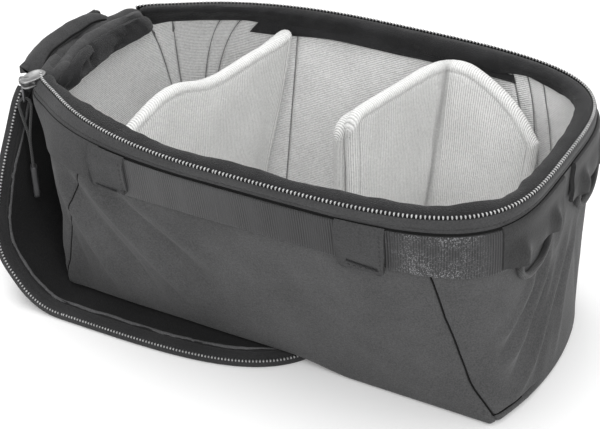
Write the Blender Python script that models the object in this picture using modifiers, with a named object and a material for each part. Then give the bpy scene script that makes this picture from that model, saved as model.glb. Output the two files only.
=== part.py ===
# Padded camera bag insert: an open box with a zip-round lid that is folded back and tucked under it.
# Metres, +Z up. +X points away from the lid hinge, the front panel faces -Y.
# Each wall is a loft from a boxy base outline to a rounder rim outline.

import math

import bmesh
import bpy
from mathutils import Matrix, Vector

# Main sizes
rim_length = 0.300
rim_width = 0.186
bag_height = 0.128
base_length = 0.259
base_width = 0.132
base_shift = 0.0113          # base centre, towards +X from the rim centre

# How boxy each outline is: 2 is an ellipse, 9 nearly a rectangle
base_boxiness = 9.0
hinge_end_boxiness = 2.15
far_end_boxiness = 3.75

# Wall layers, outside to inside
fabric_thickness = 0.0012
padding_thickness = 0.0060
lining_thickness = 0.0010
seam_gap = 0.0003
corner_turn_gap = math.radians(0.4)

# Floor of the bag
base_fabric_thickness = 0.0016
base_board_thickness = 0.0050
board_clearance = 0.0006

# Zip round the rim
tape_height = 0.0085
tape_thickness = 0.0010
teeth_height = 0.0016
teeth_width = 0.0032
zip_start_reach = 0.044      # the zip starts this far to each side of the hinge's middle

# Dark guard that lines the top of the walls
guard_height = 0.0115
guard_thickness = 0.0010
hinge_fold_height = 0.016
hinge_fold_thickness = 0.0075
hinge_fold_turn_gap = math.radians(2)
hinge_fold_gap = 0.0008      # from the lining beside it
back_strip_height = 0.0045
back_strip_reach = 0.078     # to each side of the rim's middle
back_strip_shift = 0.014

# Lid: near part hangs, middle part turns the corner, far part lies under the bag
lid_fabric_thickness = 0.0010
lid_padding_thickness = 0.0020
lid_lining_thickness = 0.0010
lid_clearance = 0.0006
lid_turn_length = 0.0398
lid_root_gap = 0.0020
lid_fold_gap = 0.0004
hinge_reach = 0.036          # half the width of the lid at its hinge
lid_under_gap = 0.0004       # between the tucked lid and the base
lid_tip_room = 0.0040        # between the lid's tip and the base's step
lid_base_turn = math.radians(90)
lid_corner_turn = math.radians(45)

# Webbing and tabs on the walls
webbing_thickness = 0.0016
webbing_height = 0.0240
webbing_drop = 0.0012        # below the top of the outer cloth
cover_gap = 0.0006           # between the wall, the webbing and the tabs laid over them
tab_thickness = 0.0012
left_tab_middle = -0.066
left_tab_width = 0.024
left_tab_height = 0.0237
right_tab_middle = 0.080
right_tab_width = 0.025
right_tab_height = 0.0287
end_tab_height = 0.0237
end_tab_start_reach = 0.063  # from the far end's middle line
end_tab_finish_reach = 0.007
webbing_finish_reach = 0.0635
corner_share = 0.3           # of the first row of a tab, over which its lower corners are rounded
tab_corner_share = 0.14      # of a tab's width, by which each lower corner is drawn in

# Cord loops under the end tabs
loop_cord_diameter = 0.0036
loop_drop = 0.0150
loop_outer_reach = 0.0560    # from the far end's middle line
loop_inner_reach = 0.0160

# Zip slider and its pull
slider_turn = math.radians(208)
slider_run_turn = math.radians(20)    # the first run of the zip, which is close to a circle's arc
slider_length = 0.0160
slider_height = 0.0046
slider_depth = 0.0100
slider_drop = 0.0002
slider_gap = 0.0015          # its flat side from the sloping rim
pull_ring_length = 0.0140
pull_ring_width = 0.0068
pull_wire = 0.0016
pull_strap_length = 0.0400
pull_strap_width = 0.0050
pull_strap_thickness = 0.0014
grip_length = 0.0200
grip_width = 0.0062
grip_thickness = 0.0040
grip_overlap_gap = 0.0003

# Dividers
divider_thickness = 0.0080
divider_clearance = 0.0016
divider_edge_round = 0.0030
fold_gap = 0.0004
left_divider_place = -0.066
left_divider_fold = 0.012
left_divider_drop = 0.0105   # from the rim down to its top, likewise the four drops below
left_fold_drop = 0.0190
left_wing_tip_drop = 0.0250
left_wing_turn = math.radians(13)
wing_fold_gap = 0.0010
right_divider_place = 0.027
right_divider_front = -0.007
right_divider_turn = math.radians(-12)
right_divider_drop = 0.0100
right_front_wing_drop = 0.0120
right_front_wing_chamfer = 0.0200
right_back_wing_length = 0.0600
right_back_wing_chamfer = 0.0380
right_back_wing_turn = math.radians(-7)

# How finely curved pieces are cut
wall_columns = 14
rim_columns = 44
base_columns = 56
lid_columns = 18
wall_level_shares = (0.0, 0.22, 0.46, 0.70)
quarter_turn = math.radians(90)

# Heights and depths that follow from the sizes above
lid_thickness = lid_fabric_thickness + lid_padding_thickness + lid_lining_thickness + 2 * seam_gap
base_low = lid_thickness + lid_under_gap
wall_foot = base_low + base_fabric_thickness + seam_gap
padding_depth = fabric_thickness + seam_gap
lining_depth = padding_depth + padding_thickness + seam_gap
wall_depth = lining_depth + lining_thickness
board_low = wall_foot
floor_low = board_low + base_board_thickness + seam_gap
floor_top = floor_low + lining_thickness
tape_top = bag_height - teeth_height - seam_gap
tape_foot = bag_height - tape_height
panel_top = tape_foot - seam_gap
guard_top = bag_height - seam_gap
guard_foot = bag_height - guard_height
padding_top = guard_top - guard_thickness - seam_gap
lining_top = guard_foot - seam_gap
webbing_high = panel_top - webbing_drop
end_tab_low = panel_top - end_tab_height
divider_foot = floor_top + seam_gap
right_divider_top = bag_height - right_divider_drop

# Places of the lid's hinge and folds
hinge_x = -rim_length / 2 - 2 * lid_clearance - lid_thickness / 2
hinge_z = bag_height + lid_clearance + lid_thickness / 2
closed_top = hinge_z + lid_thickness / 2
closed_low = closed_top - lid_thickness
lid_near_length = hinge_z - lid_thickness - lid_turn_length * math.sin(lid_corner_turn)
near_fold_x = hinge_x + lid_near_length
far_fold_x = near_fold_x + lid_turn_length


def make_material(name, colour, roughness, metallic):
    """A plain Principled finish."""
    material = bpy.data.materials.new(name)
    material.use_nodes = True
    shader = material.node_tree.nodes["Principled BSDF"]
    shader.inputs["Base Color"].default_value = (*colour, 1.0)
    shader.inputs["Roughness"].default_value = roughness
    shader.inputs["Metallic"].default_value = metallic
    return material


def spaced(start, finish, count):
    """count + 1 evenly spaced values from start to finish."""
    return [start + (finish - start) * index / count for index in range(count + 1)]


def blend(low, high, share):
    return low + (high - low) * share


def outline_shape(far_side, height):
    """Reach from the middle, half width and boxiness of one end's outline at a height."""
    share = height / bag_height
    base_reach = base_length / 2 + base_shift if far_side else base_length / 2 - base_shift
    end_boxiness = far_end_boxiness if far_side else hinge_end_boxiness
    return (blend(base_reach, rim_length / 2, share), blend(base_width / 2, rim_width / 2, share),
            blend(base_boxiness, end_boxiness, share))


def outline_point(turn, height, depth):
    """A point of the wall: its turn round the bag, its height, and its depth inside the outer face."""
    reach, half_width, power = outline_shape(math.cos(turn) > 0, height)
    along = abs(math.cos(turn)) ** (2 / power)
    across = abs(math.sin(turn)) ** (2 / power)
    along_sign = math.copysign(1, math.cos(turn))
    across_sign = math.copysign(1, math.sin(turn))
    normal = Vector((along_sign * along ** (power - 1) / reach,
                     across_sign * across ** (power - 1) / half_width)).normalized()
    x = along_sign * reach * along - depth * normal.x
    y = across_sign * half_width * across - depth * normal.y
    return Vector((x, y, height))


def turn_at_x(x, height):
    """Turn, between 0 and half a circle, at which the outline at this height passes x."""
    reach, _, power = outline_shape(x > 0, height)
    return math.acos(math.copysign((abs(x) / reach) ** (power / 2), x))


def turn_at_y(y, height):
    """Turn, before a quarter circle, at which the outline at this height passes y."""
    _, half_width, power = outline_shape(True, height)
    return math.asin((y / half_width) ** (power / 2))


def rim_turn_at(x):
    return turn_at_x(x, bag_height)


def turn_at_reach(reach):
    """Turn, past a quarter circle, at which the hinge end of the rim is this far from its middle."""
    sine = (reach / (rim_width / 2)) ** (hinge_end_boxiness / 2)
    return math.pi - math.asin(sine)


def inner_half_width(x, height):
    """Half the clear width between the linings at x and height."""
    low_turn = 0.0
    high_turn = math.pi
    for _ in range(40):
        middle = (low_turn + high_turn) / 2
        if outline_point(middle, height, wall_depth).x > x:
            low_turn = middle
        else:
            high_turn = middle
    return outline_point(low_turn, height, wall_depth).y


def finish_object(name, mesh, material, holder, smooth):
    """Turns a bmesh in world places into an object held by its empty."""
    bmesh.ops.recalc_face_normals(mesh, faces=mesh.faces[:])
    if mesh.calc_volume(signed=True) < 0:
        bmesh.ops.reverse_faces(mesh, faces=mesh.faces[:])
    data = bpy.data.meshes.new(name)
    mesh.to_mesh(data)
    mesh.free()
    data.materials.append(material)
    if smooth:
        data.shade_smooth()
        data.set_sharp_from_angle(angle=math.radians(35))
    piece = bpy.data.objects.new(name, data)
    parts.objects.link(piece)
    piece.parent = holder
    return piece


def shaped_block(name, columns, rows, place, material, holder, smooth=True):
    """A unit slab cut into columns and rows, whose corners are then set in place."""
    mesh = bmesh.new()
    bmesh.ops.create_grid(mesh, x_segments=columns, y_segments=rows, size=0.5)
    bmesh.ops.translate(mesh, vec=(0.5, 0.5, 0.0), verts=mesh.verts[:])
    raised = bmesh.ops.extrude_face_region(mesh, geom=mesh.faces[:], use_keep_orig=True)
    raised_corners = [item for item in raised["geom"] if isinstance(item, bmesh.types.BMVert)]
    bmesh.ops.translate(mesh, vec=(0.0, 0.0, 1.0), verts=raised_corners)
    for corner in mesh.verts:
        corner.co = place(corner.co.x, corner.co.y, corner.co.z)
    return finish_object(name, mesh, material, holder, smooth)


def swept_strip(name, turns, profile, section, material, holder):
    """A strip that follows the outline: profile holds (outer, inner) pairs of (depth, height)."""
    columns = len(turns) - 1
    rows = len(profile) - 1

    def place(u, v, w):
        outer, inner = profile[round(v * rows)]
        depth, height = outer if w < 0.5 else inner
        return section(turns[round(u * columns)], height, depth)

    return shaped_block(name, columns, rows, place, material, holder)


def plate(name, points, low, high, material, holder, smooth=False):
    """A flat plate with a drawn outline, from low to high."""
    mesh = bmesh.new()
    bmesh.ops.create_circle(mesh, cap_ends=True, segments=len(points), radius=rim_width)
    mesh.verts.ensure_lookup_table()
    for corner, point in zip(mesh.verts, points):
        corner.co = (point[0], point[1], low)
    raised = bmesh.ops.extrude_face_region(mesh, geom=mesh.faces[:], use_keep_orig=True)
    raised_corners = [item for item in raised["geom"] if isinstance(item, bmesh.types.BMVert)]
    bmesh.ops.translate(mesh, vec=(0.0, 0.0, high - low), verts=raised_corners)
    return finish_object(name, mesh, material, holder, smooth)


stand_up = Matrix(((0.0, 0.0, 1.0, 0.0), (1.0, 0.0, 0.0, 0.0), (0.0, 1.0, 0.0, 0.0), (0.0, 0.0, 0.0, 1.0)))


def make_empty(name, holder, location, rotation=(0.0, 0.0, 0.0)):
    """An empty on a joint's axis, or the bag's own frame."""
    empty = bpy.data.objects.new(name, None)
    empty.empty_display_size = tape_height
    scene_guides.objects.link(empty)
    empty.parent = holder
    empty.location = location
    empty.rotation_euler = rotation
    return empty


def layer_profile(outer_depth, inner_depth, levels):
    return [((outer_depth, level), (inner_depth, level)) for level in levels]


def wall_levels(top):
    """Heights at which a wall piece is cut, shared by all layers so that they stay parallel."""
    levels = [blend(wall_foot, guard_foot, share) for share in wall_level_shares]
    levels += [level for level in (lining_top, panel_top) if level < top - seam_gap]
    return levels + [top]


# Walls

def wall_turns(middle):
    """Turns at which the wall round this middle turn is cut, in all its layers."""
    half = quarter_turn / 2 - corner_turn_gap
    return spaced(middle - half, middle + half, wall_columns)


def turns_between(start, finish):
    """The walls' own cuts from start to finish, so that what lies on a wall stays parallel to it."""
    cuts = [turn for count in range(-2, 3) for turn in wall_turns(count * quarter_turn)]
    inside = [turn for turn in cuts if start + corner_turn_gap < turn < finish - corner_turn_gap]
    return [start] + inside + [finish]


def levels_between(low, high):
    """The walls' own cut heights from low to high."""
    inside = [level for level in wall_levels(panel_top) if low + seam_gap < level < high - seam_gap]
    return [low] + inside + [high]


def build_walls(frame):
    sides = {"right_end": 0.0, "back": quarter_turn, "left_end": 2 * quarter_turn, "front": 3 * quarter_turn}
    for side, middle in sides.items():
        turns = wall_turns(middle)
        swept_strip(side + "_panel", turns, layer_profile(0.0, fabric_thickness, wall_levels(panel_top)),
                    outline_point, shell_cloth, frame)
        inner = padding_depth + padding_thickness
        swept_strip(side + "_padding", turns, layer_profile(padding_depth, inner, wall_levels(padding_top)),
                    outline_point, foam, frame)
        swept_strip(side + "_lining", turns, layer_profile(lining_depth, wall_depth, wall_levels(lining_top)),
                    outline_point, pale_lining, frame)


def build_base(frame):
    around = spaced(0.0, 2 * math.pi, base_columns)[:-1]
    base_panel = plate("base_panel", [outline_point(turn, wall_foot, 0.0) for turn in around],
                       base_low, base_low + base_fabric_thickness, shell_cloth, frame)
    drop_base_step(base_panel)
    inside = wall_depth + board_clearance
    board = [outline_point(turn, board_low, inside) for turn in around]
    plate("base_board", board, board_low, board_low + base_board_thickness, foam, frame)
    plate("base_lining", board, floor_low, floor_top, pale_lining, frame)


def drop_base_step(base_panel):
    """Past the tip of the tucked lid the base sinks to the ground."""
    mesh = bmesh.new()
    mesh.from_mesh(base_panel.data)
    everything = mesh.verts[:] + mesh.edges[:] + mesh.faces[:]
    step_x = lid_tip_rest() + lid_tip_room
    bmesh.ops.bisect_plane(mesh, geom=everything, plane_co=(step_x, 0.0, 0.0), plane_no=(1.0, 0.0, 0.0))
    sunk = [face for face in mesh.faces if face.normal.z < -0.5 and face.calc_center_median().x > step_x]
    pushed = bmesh.ops.extrude_face_region(mesh, geom=sunk)
    corners = [item for item in pushed["geom"] if isinstance(item, bmesh.types.BMVert)]
    bmesh.ops.translate(mesh, vec=(0.0, 0.0, -base_low), verts=corners)
    bmesh.ops.delete(mesh, geom=sunk, context="FACES_ONLY")
    mesh.to_mesh(base_panel.data)
    mesh.free()


# Rim

def build_rim(frame):
    start = turn_at_reach(zip_start_reach)
    rim_turns = turns_between(-start, start)
    swept_strip("rim_tape", rim_turns, layer_profile(0.0, tape_thickness, (tape_foot, tape_top)),
                outline_point, zip_cloth, frame)
    teeth_low = tape_top + seam_gap
    swept_strip("rim_teeth", rim_turns, layer_profile(0.0, teeth_width, (teeth_low, bag_height)),
                outline_point, teeth_metal, frame)
    guard_start = teeth_width + seam_gap
    flange = [((guard_start, guard_top), (guard_start, guard_top - guard_thickness)),
              ((wall_depth, guard_top), (wall_depth - guard_thickness, guard_top - guard_thickness)),
              ((wall_depth, guard_foot), (wall_depth - guard_thickness, guard_foot))]
    swept_strip("rim_guard", rim_turns, flange, outline_point, guard_pile, frame)
    build_hinge_end(frame, start)
    build_back_strip(frame)


def build_hinge_end(frame, start):
    """The fabric that carries the lid at the hinge end, and its bunched fold inside."""
    end_turns = turns_between(start + corner_turn_gap, 4 * quarter_turn - start - corner_turn_gap)
    lap = tape_thickness
    lapped_top = guard_top
    bracket = [((0.0, tape_foot), (lap, tape_foot)),
               ((0.0, lapped_top), (lap, lapped_top - lap)),
               ((wall_depth, lapped_top), (wall_depth, lapped_top - lap))]
    swept_strip("hinge_strip", end_turns, bracket, outline_point, shell_cloth, frame)
    low = guard_top - hinge_fold_height
    outer = wall_depth + hinge_fold_gap
    fold_start = start + hinge_fold_turn_gap
    fold_turns = turns_between(fold_start, 4 * quarter_turn - fold_start)
    middle = (low + guard_top) / 2
    quarter_drop = hinge_fold_height / 4
    bulge = [((outer, low), (outer + hinge_fold_thickness / 3, low)),
             ((outer, low + quarter_drop), (outer + hinge_fold_thickness, low + quarter_drop)),
             ((outer, middle + quarter_drop), (outer + hinge_fold_thickness, middle + quarter_drop)),
             ((outer, guard_top), (outer + hinge_fold_thickness / 3, guard_top))]
    swept_strip("hinge_fold", fold_turns, bulge, outline_point, guard_pile, frame)


def build_back_strip(frame):
    """Second dark strip, under the guard on the back wall."""
    top = guard_foot - seam_gap
    low = top - back_strip_height
    first = rim_turn_at(back_strip_shift + back_strip_reach)
    last = rim_turn_at(back_strip_shift - back_strip_reach)
    turns = [turn for turn in wall_turns(quarter_turn) if first < turn < last]
    outer = wall_depth + seam_gap
    swept_strip("back_strip", turns, layer_profile(outer, outer + guard_thickness, (low, top)),
                outline_point, guard_pile, frame)


# Lid

def lid_section(turn, level, depth):
    """The lid's outline is the rim's, laid flat in the closed place."""
    rim_point = outline_point(turn, bag_height, depth)
    return Vector((rim_point.x, rim_point.y, level))


def lid_tip_rest():
    """World x of the lid's tip while it is tucked under the bag."""
    fold_x = hinge_x + lid_thickness / 2 + lid_turn_length * math.cos(lid_corner_turn)
    return fold_x + rim_length / 2 - far_fold_x


def settle(piece, axis_x, axis_z):
    """Moves a piece drawn in the closed place to its holder's own frame."""
    piece.data.transform(Matrix.Translation((-axis_x, 0.0, -axis_z)))


def lid_layers():
    """Layer name, low and high level in the closed place, and material."""
    cover_low = closed_top - lid_fabric_thickness
    padding_high = cover_low - seam_gap
    padding_low = padding_high - lid_padding_thickness
    lining_high = padding_low - seam_gap
    return (("cover", cover_low, closed_top, shell_cloth),
            ("padding", padding_low, padding_high, foam),
            ("lining", closed_low, lining_high, dark_lining))


def lid_panel_points(start_x, finish_x):
    """Front half of a lid panel's outline, from start_x to finish_x, inside its zip tape."""
    inset = tape_height + 2 * seam_gap
    front = [lid_section(-turn, closed_top, inset)
             for turn in spaced(turn_at_reach(zip_start_reach), 0.0, lid_columns * 3)]
    first = lid_point_at(front, start_x)
    last = lid_point_at(front, finish_x)
    inner = [(point.x, point.y) for point in front if first[0] < point.x < last[0]]
    return [first] + inner + [last]


def lid_point_at(front, x):
    """The outline's own point at x, or its end if x lies past it."""
    for near_point, next_point in zip(front, front[1:]):
        if near_point.x <= x <= next_point.x:
            share = (x - near_point.x) / (next_point.x - near_point.x)
            return (x, blend(near_point.y, next_point.y, share))
    end = front[0] if x < front[0].x else front[-1]
    return (end.x, end.y)


def mirrored(front):
    """A whole outline from its front half."""
    back = [(x, -y) for x, y in reversed(front) if abs(y) > seam_gap]
    return front + back


def build_lid_part(name, holder, axis_x, axis_z, start_x, finish_x):
    front = lid_panel_points(start_x, finish_x)
    if start_x < -rim_length / 2:
        front = [(start_x, -hinge_reach)] + front
    for layer, low, high, material in lid_layers():
        settle(plate(name + "_" + layer, mirrored(front), low, high, material, holder), axis_x, axis_z)


def zip_profile():
    """Tape with its row of teeth along the edge."""
    tape_low = closed_top - tape_thickness
    teeth_low = closed_low + seam_gap
    return [((0.0, tape_low), (0.0, teeth_low)),
            ((0.0, closed_top), (teeth_width, teeth_low)),
            ((tape_height, closed_top), (teeth_width, tape_low)),
            ((tape_height, tape_low + tape_thickness / 2), (tape_height, tape_low))]


def build_lid_zip(name, holder, axis_x, axis_z, start_turn, finish_turn, columns):
    turns = spaced(start_turn, finish_turn, columns)
    settle(swept_strip(name, turns, zip_profile(), lid_section, zip_cloth, holder), axis_x, axis_z)


def build_lid(frame):
    near_holder = make_empty("lid_hinge_axis", frame, (hinge_x, 0.0, hinge_z), (0.0, lid_base_turn, 0.0))
    turn_holder = make_empty("lid_near_fold_axis", near_holder, (lid_near_length, 0.0, lid_thickness / 2),
                             (0.0, -lid_corner_turn, 0.0))
    far_holder = make_empty("lid_far_fold_axis", turn_holder, (lid_turn_length, 0.0, 0.0),
                            (0.0, lid_corner_turn - lid_base_turn, 0.0))
    half_gap = lid_fold_gap / 2
    build_lid_part("lid_near", near_holder, hinge_x, hinge_z, hinge_x + lid_root_gap, near_fold_x - half_gap)
    build_lid_part("lid_corner", turn_holder, near_fold_x, closed_top, near_fold_x + half_gap, far_fold_x - half_gap)
    build_lid_part("lid_far", far_holder, far_fold_x, closed_top, far_fold_x + half_gap, rim_length / 2)
    start = turn_at_reach(zip_start_reach)
    near_end = rim_turn_at(near_fold_x - half_gap)
    corner_start = rim_turn_at(near_fold_x + half_gap)
    corner_end = rim_turn_at(far_fold_x - half_gap)
    far_start = rim_turn_at(far_fold_x + half_gap)
    for side, sign in (("front", -1), ("back", 1)):
        build_lid_zip("lid_near_zip_" + side, near_holder, hinge_x, hinge_z,
                      sign * start, sign * near_end, lid_columns // 2)
        build_lid_zip("lid_corner_zip_" + side, turn_holder, near_fold_x, closed_top,
                      sign * corner_start, sign * corner_end, lid_columns // 3)
    build_lid_zip("lid_far_zip", far_holder, far_fold_x, closed_top, -far_start, far_start, rim_columns)


# Webbing, tabs and loops

def wall_patch(name, frame, sign, levels, edges, depth, thickness, material):
    """A flat piece on a wall: edges(level) gives the turns at which it starts and finishes there."""
    start, finish = edges(levels[-1])
    turns = turns_between(start, finish)
    shares = [(turn - start) / (finish - start) for turn in turns]

    def place(u, v, w):
        level = levels[round(v * (len(levels) - 1))]
        low_turn, high_turn = edges(level)
        turn = blend(low_turn, high_turn, shares[round(u * (len(shares) - 1))])
        face = depth - thickness if w < 0.5 else depth
        return outline_point(sign * turn, level, face)

    shaped_block(name, len(turns) - 1, len(levels) - 1, place, material, frame)


def build_webbing(frame, side, sign):
    """Webbing along one long wall, its two tabs and the tab at the far end."""
    hidden_end = left_tab_middle - left_tab_width / 3
    webbing_levels = levels_between(webbing_high - webbing_height, webbing_high)

    def webbing_edges(level):
        return turn_at_y(webbing_finish_reach, level), turn_at_x(hidden_end, level)

    def end_tab_edges(level):
        return turn_at_y(end_tab_finish_reach, level), turn_at_y(end_tab_start_reach, level)

    wall_patch(side + "_webbing", frame, sign, webbing_levels, webbing_edges,
               -cover_gap, webbing_thickness, webbing_cloth)
    over = -2 * cover_gap - webbing_thickness
    build_tab(side + "_left_tab", frame, sign, left_tab_middle, left_tab_width, left_tab_height, over)
    build_tab(side + "_right_tab", frame, sign, right_tab_middle, right_tab_width, right_tab_height, over)
    wall_patch(side + "_end_tab", frame, sign, levels_between(end_tab_low, panel_top), end_tab_edges,
               -cover_gap, tab_thickness, shell_cloth)


def build_tab(name, frame, sign, middle, width, height, depth):
    """A tab sewn over the webbing, with its lower corners drawn in."""
    low = panel_top - height
    levels = levels_between(low, panel_top)
    levels.insert(1, blend(low, levels[1], corner_share))
    drawn_in = width * tab_corner_share

    def tab_edges(level):
        inset = drawn_in if level == low else 0.0
        return (turn_at_x(middle + width / 2 - inset, level), turn_at_x(middle - width / 2 + inset, level))

    wall_patch(name, frame, sign, levels, tab_edges, depth, tab_thickness, shell_cloth)


def loop_point(sign, reach, height):
    """A point of a cord loop, this far from the end's middle line."""
    stand = cover_gap + loop_cord_diameter / 2
    return outline_point(sign * turn_at_y(reach, height), height, -stand)


def build_loop(frame, side, sign):
    """A D of cord that hangs from the end tab and swings on its two ends."""
    top = end_tab_low - 2 * seam_gap
    hang = (loop_point(sign, loop_outer_reach, top) + loop_point(sign, loop_inner_reach, top)) / 2
    holder = make_empty(side + "_loop_axis", frame, hang)
    drop_shares = ((0.0, 0.0), (0.02, 0.30), (0.07, 0.62), (0.16, 0.86), (0.30, 0.98), (0.5, 1.0),
                   (0.70, 0.97), (0.85, 0.84), (0.94, 0.60), (0.985, 0.30), (1.0, 0.0))
    curve = bpy.data.curves.new(side + "_cord_loop", "CURVE")
    curve.dimensions = "3D"
    curve.bevel_depth = loop_cord_diameter / 2
    curve.bevel_resolution = 2
    curve.use_fill_caps = True
    spline = curve.splines.new("POLY")
    spline.points.add(len(drop_shares) - 1)
    for knot, (along_share, drop_share) in zip(spline.points, drop_shares):
        reach = blend(loop_outer_reach, loop_inner_reach, along_share)
        knot.co = (*(loop_point(sign, reach, top - loop_drop * drop_share) - hang), 1.0)
    curve.materials.append(cord_cover)
    loop = bpy.data.objects.new(side + "_cord_loop", curve)
    parts.objects.link(loop)
    loop.parent = holder


# Slider and pull

def slider_place(turn):
    """Middle of the slider when it stands at this turn of the rim."""
    return outline_point(turn, bag_height - slider_drop - slider_height / 2, -slider_gap - slider_depth / 2)


def circle_centre(first, middle, last):
    """Centre of the circle through three points at one height."""
    rows = Matrix(((middle.x - first.x, middle.y - first.y), (last.x - middle.x, last.y - middle.y)))
    sums = Vector((middle.xy.length_squared - first.xy.length_squared,
                   last.xy.length_squared - middle.xy.length_squared))
    return (rows.inverted() @ sums) / 2


def build_slider(frame):
    """The slider, on the axis round which it runs along the first part of the zip."""
    middle = slider_place(slider_turn)
    halfway = slider_place(slider_turn + slider_run_turn / 2)
    finish = slider_place(slider_turn + slider_run_turn)
    centre = circle_centre(middle, halfway, finish)
    run_holder = make_empty("slider_run_axis", frame, (centre.x, centre.y, middle.z))
    outward = math.atan2(middle.y - centre.y, middle.x - centre.x)
    bpy.ops.mesh.primitive_cylinder_add(vertices=20, radius=0.5, depth=1.0)
    slider = bpy.context.object
    adopt(slider, "zip_slider", slider_metal, run_holder)
    slider.data.transform(Matrix.Diagonal((slider_length, slider_depth, slider_height, 1.0)))
    slider.location = (middle.x - centre.x, middle.y - centre.y, 0.0)
    slider.rotation_euler = (0.0, 0.0, outward + quarter_turn)
    build_pull(run_holder, slider.location, outward)


def adopt(piece, name, material, holder):
    """Takes a primitive into the bag's collection under its own name."""
    for collection in list(piece.users_collection):
        collection.objects.unlink(piece)
    parts.objects.link(piece)
    piece.name = name
    piece.data.name = name
    piece.data.materials.append(material)
    piece.parent = holder


def add_box(name, size, centre, material, holder, edge):
    """A box with softened edges, centred in its holder's frame."""
    bpy.ops.mesh.primitive_cube_add(size=1.0)
    piece = bpy.context.object
    adopt(piece, name, material, holder)
    piece.data.transform(Matrix.Translation(centre) @ Matrix.Diagonal((*size, 1.0)))
    soften = piece.modifiers.new("soft edges", "BEVEL")
    soften.width = edge
    soften.segments = 2
    return piece


def build_pull(run_holder, slider_middle, outward):
    """Wire ring on the slider's outer side, doubled cord strap and moulded grip."""
    stand = slider_depth / 2 + seam_gap + pull_wire / 2
    ring_x = slider_middle.x + stand * math.cos(outward)
    ring_y = slider_middle.y + stand * math.sin(outward)
    ring_holder = make_empty("pull_ring_axis", run_holder, (ring_x, ring_y, 0.0), (0.0, 0.0, outward))
    ring_half = pull_ring_length / 2 - pull_wire / 2
    bpy.ops.mesh.primitive_torus_add(major_radius=ring_half, minor_radius=pull_wire / 2,
                                     major_segments=20, minor_segments=8)
    ring = bpy.context.object
    adopt(ring, "pull_ring", slider_metal, ring_holder)
    squeeze = (pull_ring_width - pull_wire) / (pull_ring_length - pull_wire)
    ring.data.transform(Matrix.Rotation(math.radians(90), 4, "Y") @ Matrix.Diagonal((1.0, squeeze, 1.0, 1.0)))
    ring.data.transform(Matrix.Translation((0.0, 0.0, -ring_half)))
    half = pull_strap_width / 2
    strap_top = -pull_ring_length + pull_wire / 2 - seam_gap
    strap_holder = make_empty("pull_strap_axis", ring_holder, (0.0, 0.0, strap_top - half))
    strap_foot = half - pull_strap_length
    round_top = [(half * math.cos(turn), half * math.sin(turn)) for turn in spaced(0.0, math.pi, 10)]
    strap = plate("pull_strap", round_top + [(-half, strap_foot), (half, strap_foot)],
                  -pull_strap_thickness / 2, pull_strap_thickness / 2, cord_cover, strap_holder)
    strap.data.transform(stand_up)
    grip_top = strap_foot - grip_overlap_gap
    add_box("pull_grip", (grip_thickness, grip_width, grip_length), (0.0, 0.0, grip_top - grip_length / 2),
            grip_rubber, strap_holder, grip_thickness / 4)


# Dividers

def divider_panel(name, points, holder, near_face, far_face):
    """A padded panel drawn as (along, height) points and given its thickness across."""
    piece = plate(name, points, near_face, far_face, divider_cloth, holder)
    piece.data.transform(stand_up)
    soften = piece.modifiers.new("soft edges", "BEVEL")
    soften.width = divider_edge_round
    soften.segments = 2
    soften.limit_method = "ANGLE"
    soften.angle_limit = math.radians(40)
    return piece


def wall_edge(x, start, top, scale=1.0):
    """Heights and clear half widths of a divider's end, from its foot to its top."""
    levels = spaced(divider_foot, top, 3)
    return [((inner_half_width(x, level) - divider_clearance - start) * scale, level) for level in levels]


def left_wing_reach(level):
    """Length of the left divider's wing at a height: it clears the front wall bowed and straight."""
    straight = inner_half_width(left_divider_place, level) - divider_clearance + left_divider_fold
    bowed = straight
    for _ in range(8):
        tip_x = left_divider_place - divider_thickness / 2 - bowed * math.sin(left_wing_turn)
        clear = inner_half_width(tip_x, level) - divider_clearance + left_divider_fold
        bowed = clear / math.cos(left_wing_turn)
    return min(bowed, straight)


def build_left_divider(frame):
    place_x = left_divider_place
    slide = make_empty("left_divider_slide", frame, (place_x, left_divider_fold, 0.0))
    half = divider_thickness / 2
    fold_top = bag_height - left_fold_drop
    tip_top = bag_height - left_wing_tip_drop
    back_edge = wall_edge(place_x - half, left_divider_fold, bag_height - left_divider_drop)
    points = [(fold_gap, divider_foot)] + back_edge + [(fold_gap, fold_top)]
    divider_panel("left_divider", points, slide, -half, half)
    wing = make_empty("left_wing_axis", slide, (0.0, 0.0, 0.0), (0.0, 0.0, -left_wing_turn))
    wing_points = [(-wing_fold_gap, divider_foot), (-wing_fold_gap, fold_top),
                   (-left_wing_reach(tip_top), tip_top), (-left_wing_reach(divider_foot), divider_foot)]
    divider_panel("left_divider_wing", wing_points, wing, -half, half)


def build_right_divider(frame):
    slide = make_empty("right_divider_slide", frame, (right_divider_place, right_divider_front, 0.0),
                       (0.0, 0.0, right_divider_turn))
    slant = 1 / math.cos(right_divider_turn)
    far_x = right_divider_place - math.sin(right_divider_turn) * rim_width / 2
    near_face = fold_gap
    far_face = near_face + divider_thickness
    back_edge = wall_edge(far_x, right_divider_front, right_divider_top, slant)
    points = [(fold_gap, divider_foot)] + back_edge + [(fold_gap, right_divider_top)]
    divider_panel("right_divider", points, slide, near_face, far_face)
    build_front_wing(slide)
    build_back_wing(slide, back_edge, far_face)


def build_front_wing(slide):
    """Front wing of the right divider, folded back flat against it."""
    holder = make_empty("right_front_wing_axis", slide, (0.0, 0.0, 0.0))
    top = bag_height - right_front_wing_drop
    chamfer = right_front_wing_chamfer
    free_edge = wall_edge(right_divider_place, -right_divider_front, top - chamfer)
    reach = free_edge[-1][0]
    points = [(fold_gap, divider_foot)] + free_edge + [(reach - chamfer, top), (fold_gap, top)]
    divider_panel("right_divider_front_wing", points, holder, -fold_gap - divider_thickness, -fold_gap)


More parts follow.
